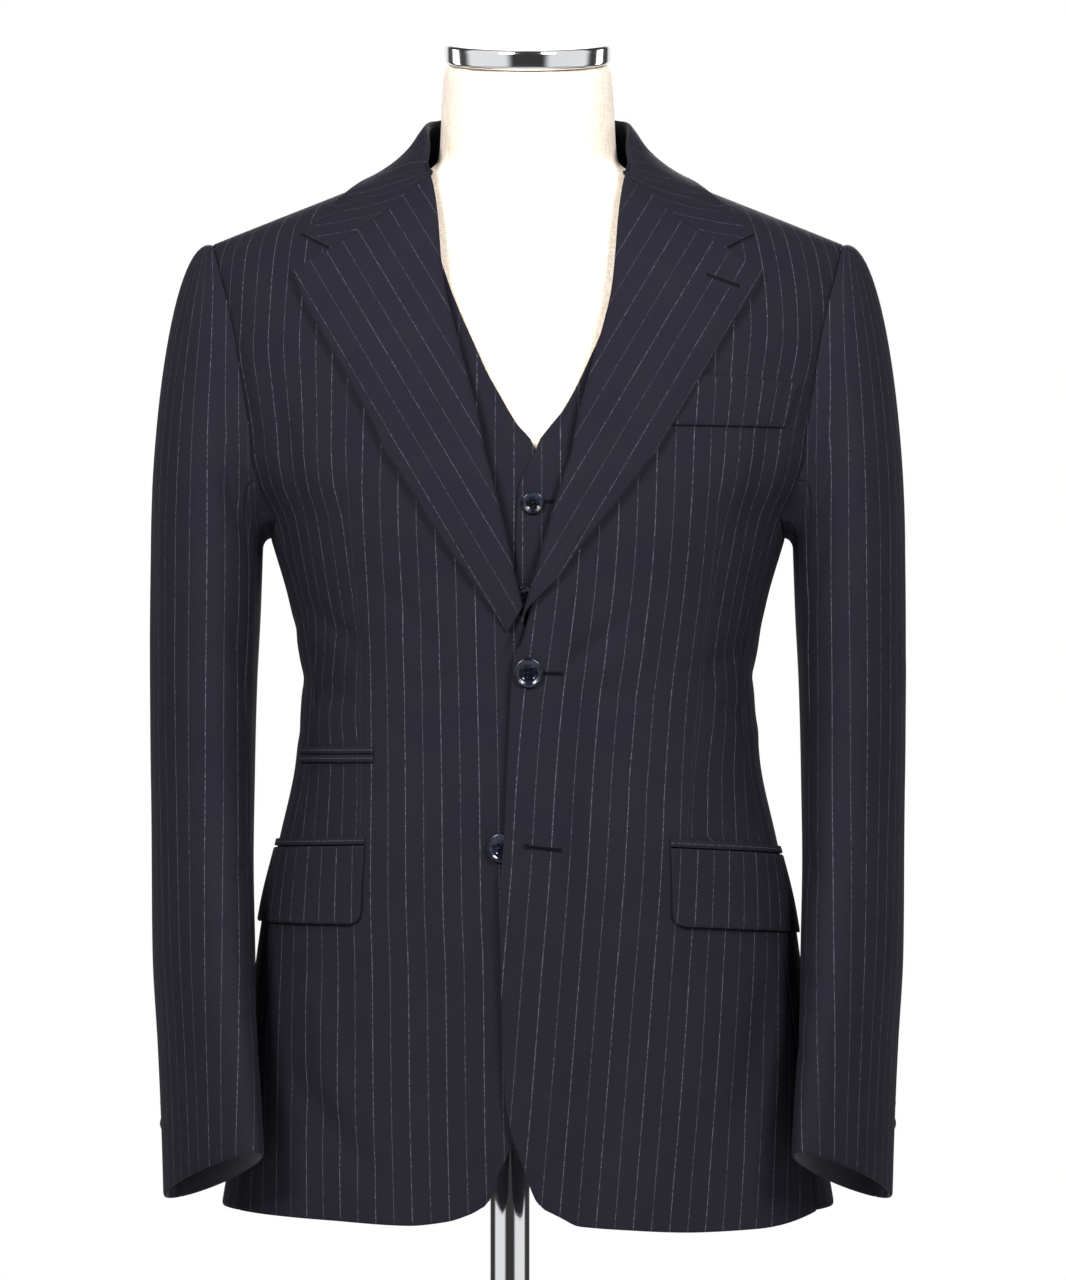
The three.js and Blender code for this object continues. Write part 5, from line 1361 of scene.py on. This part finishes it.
def collar_tip_section():
    """The section through the collar's tip, beside the notch."""
    roll = float(front_edge["right"](TIP["section"]))
    points = [(roll + x, TIP["section"], out) for x, out in zip(FOLD["out_in"], FOLD["out"])]
    points += [(mix(roll + 10, TIP["across"], k / 4), mix(TIP["section"], TIP["rise"], k / 4), COLLAR_OUT)
               for k in range(1, 5)]
    return np.array([spot_at(*p)[0] for p in points])


def collar_gorge_section():
    """The collar's last section, which lies along the gorge."""
    width = GORGE["across"][-1] - GORGE["across"][0]
    points = []
    for x, out in zip(FOLD["out_in"], FOLD["out"]):
        rise = np.interp(x / width, GORGE["share"], GORGE["rise"]) + GORGE_GAP
        points.append((GORGE["across"][0] + x, rise, out))
    for share in (0.22, 0.34, 0.53, 0.72):
        points.append((np.interp(share, GORGE["share"], GORGE["across"]),
                       np.interp(share, GORGE["share"], GORGE["rise"]) + GORGE_GAP, COLLAR_OUT))
    return np.array([spot_at(*p)[0] for p in points])


def rested_on_shoulder(points):
    """Lifts points of the leaf that would sink into the shoulder."""
    x, y, z = points[..., 0], points[..., 1], points[..., 2]
    share = np.maximum(1 - (np.abs(x) / figure.half(TOP)) ** ROUNDNESS, 0) ** (1 / ROUNDNESS)
    depth = np.where(y < 0, figure.front(TOP), figure.back(TOP)) * share
    reach = np.minimum(np.abs(y) / np.maximum(depth, 1e-6), 1)
    top = TOP_OF_CHEST + (figure.ridge(x) - TOP_OF_CHEST) * (1 - reach ** DOME) ** (1 / DOME)
    rests = (np.hypot(x, y) > CLEAR_OF_NECK) & (np.abs(y) < SHOULDER_REACH)
    lifted = points.copy()
    lifted[..., 2] = np.where(rests, np.maximum(z, top + COLLAR_OUT), z)
    return lifted


MIRROR = (-1, 1, 1)
stations_round_neck = range(len(COLLAR_STATIONS["crest_x"]))
half_collar = [collar_section(k) for k in stations_round_neck] + [collar_tip_section()]
mirrored = [section * MIRROR for section in half_collar[:0:-1]]
along_collar = drawn_through(np.array(mirrored + half_collar), 9)
gorge = collar_gorge_section()
ends = [(along_collar[0], gorge * MIRROR), (along_collar[-1], gorge)]
run_in, run_out = ([mix(start, end, t) for t in stations(3, 14)[1:]] for start, end in ends)
sections = np.array([*run_in[::-1], *rested_on_shoulder(along_collar), *run_out])
outer = np.swapaxes(drawn_through(np.swapaxes(sections, 0, 1), 5), 0, 1)
outer[1:-1] = rested_on_shoulder(outer[1:-1])
normals = unit(np.cross(np.gradient(outer, axis=0), np.gradient(outer, axis=1)))
inner = outer - normals * CLOTH
middle = outer[:, 3 * outer.shape[1] // 4]
along = np.concatenate([[0], np.cumsum(np.linalg.norm(np.diff(middle, axis=0), axis=1))])
across = np.concatenate([np.zeros((len(outer), 1)), np.cumsum(
    np.linalg.norm(np.diff(outer, axis=1), axis=2), axis=1)], axis=1)
from_back = (along - along[-1] / 2)[:, None]
slant = 0.62 * fade_in(np.abs(from_back), 110, 190)
cloth_map = np.stack([from_back + np.sign(from_back) * slant * across, across], axis=-1)
distances = edge_distances(outer)
COLLAR_TURNS = {"top": 0.9, "start": 0.8, "end": 0.8}
sink = sum(turned_over(distances[edge], 0.55, reach) for edge, reach in COLLAR_TURNS.items())
collar = shell("collar_cloth", outer - normals * sink[..., None], inner, cloth_map,
               facing_worsted, worsted)
place_piece(collar, "worsted", "jacket_collar")
collar_line = inside_edge(outer, normals, "top", 0.02, 0.98)
collar_stitches = stitched("collar_stitches", [collar_line], thread, "worsted", seed=9)


# ---- Sleeves ----
# Two-piece sleeves set in high, with a full head. The top piece shows its stripes upright
# and the under piece closes the inside of the arm. They bend forward to the cuff.

ARMHOLE_STATIONS = 24
UNDERARM = (10, 14)
ARMHOLE_GAP = 0.5
SLEEVE_TOP = 1195
SLEEVE_STRIPE = 3.0
CUFF = 766
SLEEVE_SECTIONS = {
    "z": [CUFF, 805, 860, 920, 980, 1040, 1100, 1155, SLEEVE_TOP],
    "x": [215.5, 217.5, 221, 224, 225.5, 226, 225.5, 224, 223],
    "y": [-49, -42, -32, -20, -8, 3, 3, 1, 0],
    "long": [62, 63, 64.5, 65.5, 66, 66, 66, 67, 68],
    "short": [22, 24.5, 28, 32, 33.5, 35.5, 37, 38.5, 39],
    "turn": [59, 62, 67, 71, 75, 79, 82, 84, 85],
    "tilt": [21, 18, 15, 12, 9, 6, 3, 1, 0],
}
FOREARM_SEAM = 9
ELBOW_SEAM = 17
SLEEVE_FOLDS = {
    "left": [
        ((66, 907), (12, 896), -1.5, 5),
        ((64, 884), (20, 878), -1.2, 4.5),
        ((70, 862), (30, 846), -1.0, 6),
        ((62, 1010), (22, 960), -1.2, 8),
        ((50, 1130), (16, 1215), -1.4, 8),
        ((40, 1226), (24, 1300), -1.2, 6),
        ((-196, 1012), (-104, 980), -1.8, 9),
        ((-190, 962), (-120, 948), -1.3, 8),
        ((-60, 1250), (-44, 1090), -1.0, 14),
        ((-120, 1230), (-96, 1110), -1.3, 15),
        ((120, 1030), (160, 990), -1.5, 9),
    ],
    "right": [
        ((66, 905), (18, 889), -1.5, 5),
        ((62, 882), (14, 871), -1.3, 5),
        ((64, 1002), (26, 968), -1.0, 7),
        ((52, 1080), (20, 1150), -1.2, 8),
        ((46, 1186), (16, 1246), -1.6, 7),
        ((-200, 1000), (-112, 976), -1.6, 9),
        ((-188, 1044), (-126, 1030), -1.2, 8),
        ((-70, 1240), (-50, 1080), -1.1, 14),
        ((-128, 1220), (-108, 1100), -1.2, 15),
        ((118, 1020), (156, 976), -1.4, 9),
    ],
}

sleeve_curve = {key: curve_of(SLEEVE_SECTIONS, key, over="z")
                for key in ("x", "y", "long", "short", "turn", "tilt")}


def armhole_spot(station):
    """The angle and rise of a place on the armhole, down the front, under the arm and up."""
    station = np.mod(station, ARMHOLE_STATIONS)
    first, last = UNDERARM
    down = row_rise(np.clip(ROWS - station, ROWS_BELOW, ROWS), HEM)
    up = row_rise(np.clip(station - ARMHOLE_STATIONS + ROWS, ROWS_BELOW, ROWS), HEM)
    share = np.clip((station - first) / (last - first), 0, 1)
    under = underarm_rise(share) + ARMHOLE_GAP
    front = figure.move_round(front_seam(down), down, ARMHOLE_GAP)
    below = mix(front_seam(under), back_seam(under), share)
    back = figure.move_round(back_seam(up), up, -ARMHOLE_GAP)
    angle = np.where(station <= first, front, np.where(station < last, below, back))
    rise = np.where(station <= first, down, np.where(station < last, under, up))
    return angle, rise


def sleeve_ring(z, station):
    """Places round the left sleeve at a height: an oval turned about the arm and tilted."""
    around = math.pi / 2 - 2 * math.pi * station / ARMHOLE_STATIONS
    turn = np.radians(sleeve_curve["turn"](z))
    forward = sleeve_curve["long"](z) * np.cos(around)
    outward = sleeve_curve["short"](z) * np.sin(around)
    return np.stack([sleeve_curve["x"](z) - forward * np.cos(turn) + outward * np.sin(turn),
                     sleeve_curve["y"](z) - forward * np.sin(turn) - outward * np.cos(turn),
                     z + sleeve_curve["tilt"](z) * np.cos(around)], axis=-1)


def sleeve_tube(around, head_rows, levels):
    """The left sleeve as rings of points, from the armhole's stations down to the cuff."""
    angle, rise = armhole_spot(around)
    start = figure.surface(angle, rise)
    ring = sleeve_ring(np.full_like(around, SLEEVE_TOP), around)
    drop = np.linalg.norm(ring - start, axis=1)
    over_arm = np.maximum(0, np.cos(2 * math.pi * around / ARMHOLE_STATIONS))
    leave, settle = start.copy(), ring.copy()
    leave[:, 0] += np.minimum(0.3 * drop, 26)
    leave[:, 2] += 7 * over_arm ** 2
    settle[:, 2] += 0.42 * drop
    rows = [(1 - t) ** 3 * start + 3 * t * (1 - t) ** 2 * leave + 3 * t * t * (1 - t) * settle
            + t ** 3 * ring for t in head_rows]
    rows += [sleeve_ring(np.full_like(around, z), around) for z in levels]
    return np.stack(rows, axis=1)


def sleeve_arc(around, tube, normals, head_count):
    """How far round the sleeve each point lies from the line down its front. The stripes hang
    upright all the way up the head, and its ease brings them together between front and side."""
    stations_round = np.arange(0, ARMHOLE_STATIONS + 0.05, 0.1)

    def ring_at(z):
        ring = sleeve_ring(np.full_like(stations_round, z), stations_round)
        arc = np.concatenate([[0], np.cumsum(np.linalg.norm(np.diff(ring, axis=0), axis=1))])
        near = stations_round < 12
        front = np.interp(-0.5 * (sleeve_curve["x"](z) + 221), -ring[near, 0], arc[near])
        return ring, arc - front, arc[-1]

    wrapped = np.mod(around, ARMHOLE_STATIONS)
    arc = np.empty(tube.shape[:2])
    for j in range(head_count, tube.shape[1]):
        level = float(np.mean(tube[:, j, 2] - sleeve_curve["tilt"](tube[:, j, 2])
                              * np.sin(2 * math.pi * around / ARMHOLE_STATIONS)))
        _, lengths, girth = ring_at(level)
        arc[:, j] = np.interp(wrapped, stations_round, lengths) - girth * (around < 0)
    ring, lengths, girth = ring_at(SLEEVE_TOP)
    head, facing = tube[:, :head_count], normals[:, :head_count]
    turns = around[:, None] + 0 * head[..., 0]

    def station_of(value, axis, first, rising):
        run = np.linspace(first, first + 12, 61)
        values = np.interp(np.mod(run, ARMHOLE_STATIONS), stations_round, ring[:, axis])
        return np.interp(value, values, run) if rising else np.interp(-value, -values, run)

    x, y = head[..., 0], head[..., 1]
    front = station_of(x, 0, 0, False)
    back = np.where(turns < 6, station_of(x, 0, -12, True), station_of(x, 0, 12, True))
    outside = station_of(y, 1, -6, False)
    inside = np.where(turns < 0, station_of(y, 1, -18, True), station_of(y, 1, 6, True))
    share = facing[..., 1] ** 2 / (facing[..., 0] ** 2 + facing[..., 1] ** 2 + 1e-9)
    sideways = np.where(facing[..., 0] > 0, outside, inside)
    station = mix(sideways, np.where(facing[..., 1] < 0, front, back), share)
    arc[:, :head_count] = np.interp(np.mod(station, ARMHOLE_STATIONS), stations_round, lengths) \
        + girth * np.floor(station / ARMHOLE_STATIONS)
    return arc


def sleeve_piece(name, side, first, last, folds):
    """The piece of a sleeve between two stations, with its face's points and normals."""
    stretch = (last - first) * 17.0
    around = mix(first, last, stations(int((last - first) * 5), stretch))
    head_rows = np.concatenate([[0, 0.004, 0.01, 0.02, 0.035], np.linspace(0.06, 1, 26)[:-1]])
    levels = np.concatenate([np.linspace(SLEEVE_TOP, CUFF + 5, 88), CUFF + np.array([3.2, 2, 1, 0.4, 0])])
    tube = sleeve_tube(around, head_rows, levels)
    angle, rise = armhole_spot(around)
    body_normal = figure.normal(angle, rise)[:, None]
    step = 0.05
    across = sleeve_tube(around + step, head_rows, levels) - sleeve_tube(around - step, head_rows, levels)
    own = unit(np.cross(across, np.gradient(tube, axis=1)))
    arc = sleeve_arc(around, tube, own, len(head_rows))
    near = np.linalg.norm(tube - tube[:, :1], axis=2)[..., None]
    normals = unit(mix(body_normal, own, fade_in(near, 0, 5)))
    height = tube[..., 2]
    lift = soft_folds(arc, height, folds)
    outer = tube + normals * lift[..., None]
    inner = outer - normals * CLOTH
    distances = edge_distances(outer)
    sink = sum(turned_over(distances[edge]) for edge in ("start", "end", "top"))
    seam_gap = unit(across) * (SEAM / 2)
    for grid in (outer, inner):
        grid[0] += seam_gap[0]
        grid[-1] -= seam_gap[-1]
    flat = np.stack([arc + SLEEVE_STRIPE, height], axis=-1) * (side, 1)
    mirror = (side, 1, 1)
    piece = shell(name, (outer - normals * sink[..., None]) * mirror, inner * mirror, flat, worsted, lining)
    return piece, outer * mirror, normals * mirror


SLEEVE_PARTS = (("top", ELBOW_SEAM - ARMHOLE_STATIONS, FOREARM_SEAM, (0.27, 0.70), 0.13),
                ("under", FOREARM_SEAM, ELBOW_SEAM, (0.15, 0.50), 0.06))
for name, side in (("left", 1), ("right", -1)):
    for part, first, last, size, area in SLEEVE_PARTS:
        piece, outer, normals = sleeve_piece(f"sleeve_{part}_{name}_cloth", side, first, last,
                                             SLEEVE_FOLDS[name])
        place_piece(piece, "worsted", f"sleeve_{part}_{name}")


# ---- Pockets ----
# Hip flaps under narrow jets, a ticket pocket with two jets on the right front, and a
# slanted breast welt on the left. Each lies on its front, and its stripes meet the front's.

TRIM_CLOTH = 1.4
LAY = 0.9
FLAP_LENGTH, FLAP_DEPTH, FLAP_CORNER = 150, 53, 9
TICKET_LENGTH = 110
WELT_LENGTH, WELT_DEPTH = 110, 22
LAID_PIECES = [
    {"node": "hip_flap_right", "from": (37.4, 994, 35, 941), "to": (89, 989, 90, 938)},
    {"node": "hip_jet_right", "from": (37.8, 1000, 37.6, 995), "to": (89, 995, 89, 990)},
    {"node": "hip_flap_left", "from": (31.5, 992.5, 29.2, 940), "to": (84, 984, 84.5, 930)},
    {"node": "hip_jet_left", "from": (31.8, 998.5, 31.6, 993.5), "to": (84, 990, 84, 985)},
    {"node": "ticket_jet_upper", "from": (38.6, 1061, 38.4, 1056.3), "to": (75, 1059.5, 75, 1054.8)},
    {"node": "ticket_jet_lower", "from": (38.4, 1055.5, 38.3, 1050.5), "to": (75, 1054, 75, 1049)},
    {"node": "breast_welt", "from": (29.2, 1288, 23.9, 1267), "to": (54, 1290.5, 51.6, 1268.5)},
]


def laid_place(piece, side):
    """Where a laid piece's face lies on its front. A flap has one round corner and a loose edge."""
    top_from, top_rise, low_from, low_rise = piece["from"]
    top_to, top_end, low_to, low_end = piece["to"]
    corner = FLAP_CORNER if "flap" in piece["node"] else 0

    def place(s, t):
        lost = 0 * s
        if corner:
            round_it = np.maximum(corner - FLAP_LENGTH * s, 0) / corner
            lost = corner / FLAP_DEPTH * (1 - np.sqrt(1 - round_it ** 2))
        height = mix(lost, 1, t)
        angle = np.radians(mix(mix(low_from, low_to, s), mix(top_from, top_to, s), height))
        rise = mix(mix(low_rise, low_end, s), mix(top_rise, top_end, s), height)
        loose = 1.3 * (1 - height) ** 2 * fade_out(s, 0.35, 0.7) if corner else 0
        return side * angle, rise, LAY + TRIM_CLOTH + loose + 0 * rise

    return place


def jet_map(angle, rise):
    """A jet's flat cloth: it is cut along the stripe, so one runs down its length."""
    return np.stack([rise - np.mean(rise, axis=1, keepdims=True) + 0.5 * STRIPE_PITCH,
                     figure.arc(angle, rise)], axis=-1)


for piece_sizes in LAID_PIECES:
    node = piece_sizes["node"]
    name = "left" if "left" in node or "breast" in node else "right"
    side = 1 if name == "left" else -1
    narrow = "jet" in node
    length = FLAP_LENGTH if "hip" in node else TICKET_LENGTH if narrow else WELT_LENGTH
    columns = stations(12 if narrow else 40, length)
    rows = np.linspace(0, 1, 9) if narrow else stations(16, FLAP_DEPTH if "flap" in node else WELT_DEPTH)
    cloth_map = jet_map if narrow else front_map(name, darted="breast" in node)
    edges = {"depth": 0.35, "reach": 0.6} if narrow else {"depth": 0.5, "reach": 0.8}
    piece, outer, normals = panel(f"{node}_cloth", figure, laid_place(piece_sizes, side), cloth_map,
                                  TRIM_CLOTH, columns, rows, worsted, lining, FRONT_FOLDS[name], **edges)
    place_piece(piece, "worsted_trim", node)
    if "flap" in node:
        lines = [inside_edge(outer, normals, "bottom", 0.0, 0.97),
                 inside_edge(outer, normals, "start", 0.2, 0.95)]
        stitches = stitched(f"{node}_stitches", lines, thread, "worsted_trim", seed=11)


# ---- Buttons of the jacket ----
# Polished dark buttons with four holes: two on the front edge, 20 mm across, and four small
# ones up each cuff. They are sewn through with crossed silk.

FRONT_BUTTON = (10, 2.6)
SLEEVE_BUTTON = (6.7, 2.2)
CUFF_BUTTONS = {"lowest": 796, "pitch": 13.9, "station": 18.6, "out": 0.85}

large_button = button_shape("large_button", *FRONT_BUTTON, horn)
FRONT_BUTTON_SPOTS = {"jacket_button_upper": (0.5, 1111.5, 6.7),
                      "jacket_button_lower": (-17.4, 993.5, 0.35)}
for node, (x, rise, out) in FRONT_BUTTON_SPOTS.items():
    sew_button(node, large_button, *FRONT_BUTTON, *spot_at(x, rise, out), 0.1)
bpy.data.objects.remove(large_button)

cuff_button = button_shape("cuff_button", *SLEEVE_BUTTON, horn)
beside = CUFF_BUTTONS["station"] + np.array([-0.4, 0, 0.4])
cuff_lines = sleeve_tube(beside, [0, 1], np.linspace(880, 770, 56))


def on_line(line, z):
    """The point where a line down the sleeve passes a height."""
    return np.array([np.interp(-z, -line[:, 2], line[:, axis]) for axis in range(3)])


for k in range(4):
    z = CUFF_BUTTONS["lowest"] + CUFF_BUTTONS["pitch"] * k
    before, at, after = (on_line(line, z) for line in cuff_lines)
    down = on_line(cuff_lines[1], z - 10) - on_line(cuff_lines[1], z + 10)
    normal = unit(np.cross(after - before, down))
    place = at + normal * CUFF_BUTTONS["out"]
    for name, side in (("left", 1), ("right", -1)):
        sew_button(f"cuff_button_{name}_{k + 1}", cuff_button, *SLEEVE_BUTTON, place * (side, 1, 1),
                   normal * (side, 1, 1), 0.15 * k)
bpy.data.objects.remove(cuff_button)


# ---- Floor, light and camera ----
# A plain white studio: a pale floor, two soft lights in front, one at each side and one
# behind, and dark bands round the room that only polished parts mirror.

floor_points, floor_faces = spun_points([(0, 0), (4000, 0)], 128)
paper, paper_tree, paper_shader = new_finish("studio_floor", Roughness=0.9, Base_Color=(0.7, 0.7, 0.7, 1))
lit_paper = wire(paper_tree, "ShaderNodeEmission", {"Color": (0.86, 0.86, 0.86, 1)})
looked_at = wire(paper_tree, "ShaderNodeLightPath").outputs["Is Camera Ray"]
pale = wire(paper_tree, "ShaderNodeMixShader", {0: maths(paper_tree, "MULTIPLY", looked_at, 0.6)})
paper_tree.links.new(paper_shader.outputs[0], pale.inputs[1])
paper_tree.links.new(lit_paper.outputs[0], pale.inputs[2])
paper_tree.links.new(pale.outputs[0], paper_tree.nodes["Material Output"].inputs["Surface"])
floor = build("studio_floor", floor_points - (0, 0, 0.5), floor_faces, paper)

world = bpy.data.worlds.new("studio")
bpy.context.scene.world = world
world.use_nodes = True
sky = world.node_tree
backdrop = sky.nodes["Background"]
backdrop.inputs["Color"].default_value = (1, 1, 1, 1)
backdrop.inputs["Strength"].default_value = 0.06
seen = wire(sky, "ShaderNodeLightPath")
white = wire(sky, "ShaderNodeBackground", {"Color": (1, 1, 1, 1), "Strength": 1.0})
heading = wire(sky, "ShaderNodeSeparateXYZ", {0: wire(sky, "ShaderNodeTexCoord").outputs["Generated"]})
turn = maths(sky, "ARCTAN2", heading.outputs[0], heading.outputs[1])
bands = maths(sky, "MULTIPLY_ADD", maths(sky, "COSINE", maths(sky, "MULTIPLY", turn, 3.0)), 0.5, 0.5)
mirrored_room = wire(sky, "ShaderNodeBackground", {
    "Color": (1, 1, 1, 1), "Strength": ramp(sky, bands, 0.25, 0.6, 0.05, 1.0)})
for_gloss = wire(sky, "ShaderNodeMixShader", {0: seen.outputs["Is Glossy Ray"]})
sky.links.new(backdrop.outputs[0], for_gloss.inputs[1])
sky.links.new(mirrored_room.outputs[0], for_gloss.inputs[2])
for_camera = wire(sky, "ShaderNodeMixShader", {0: seen.outputs["Is Camera Ray"]})
sky.links.new(for_gloss.outputs[0], for_camera.inputs[1])
sky.links.new(white.outputs[0], for_camera.inputs[2])
sky.links.new(for_camera.outputs[0], sky.nodes["World Output"].inputs["Surface"])

LIT_POINT = Vector((0, 0, 1.2))
LIGHTS = {
    "key_right": {"at": (-1.2, -2.2, 2.5), "size": (0.8, 1.0), "power": 91},
    "key_left": {"at": (1.2, -2.2, 2.5), "size": (0.8, 1.0), "power": 85},
    "side_left": {"at": (2.6, 1.4, 1.7), "size": (0.8, 1.6), "power": 12},
    "side_right": {"at": (-2.6, 1.4, 1.7), "size": (0.8, 1.6), "power": 12},
    "back": {"at": (0.2, 2.8, 2.4), "size": (1.4, 1.0), "power": 80},
}
for name, given in LIGHTS.items():
    light = bpy.data.lights.new(name, "AREA")
    light.shape, light.energy = "RECTANGLE", given["power"]
    light.size, light.size_y = given["size"]
    lamp = bpy.data.objects.new(name, light)
    lamp.location = given["at"]
    lamp.rotation_euler = (LIT_POINT - Vector(given["at"])).to_track_quat("-Z", "Y").to_euler()
    bpy.context.scene.collection.objects.link(lamp)

lens = bpy.data.cameras.new("camera")
lens.lens, lens.sensor_width, lens.sensor_fit = 145.8, 36, "AUTO"
camera = bpy.data.objects.new("camera", lens)
camera.location = (0.0035, -3.6, 1.133)
camera.rotation_euler = (math.pi / 2, 0, 0)
bpy.context.scene.collection.objects.link(camera)
bpy.context.scene.camera = camera
bpy.context.scene.view_settings.view_transform = "Standard"
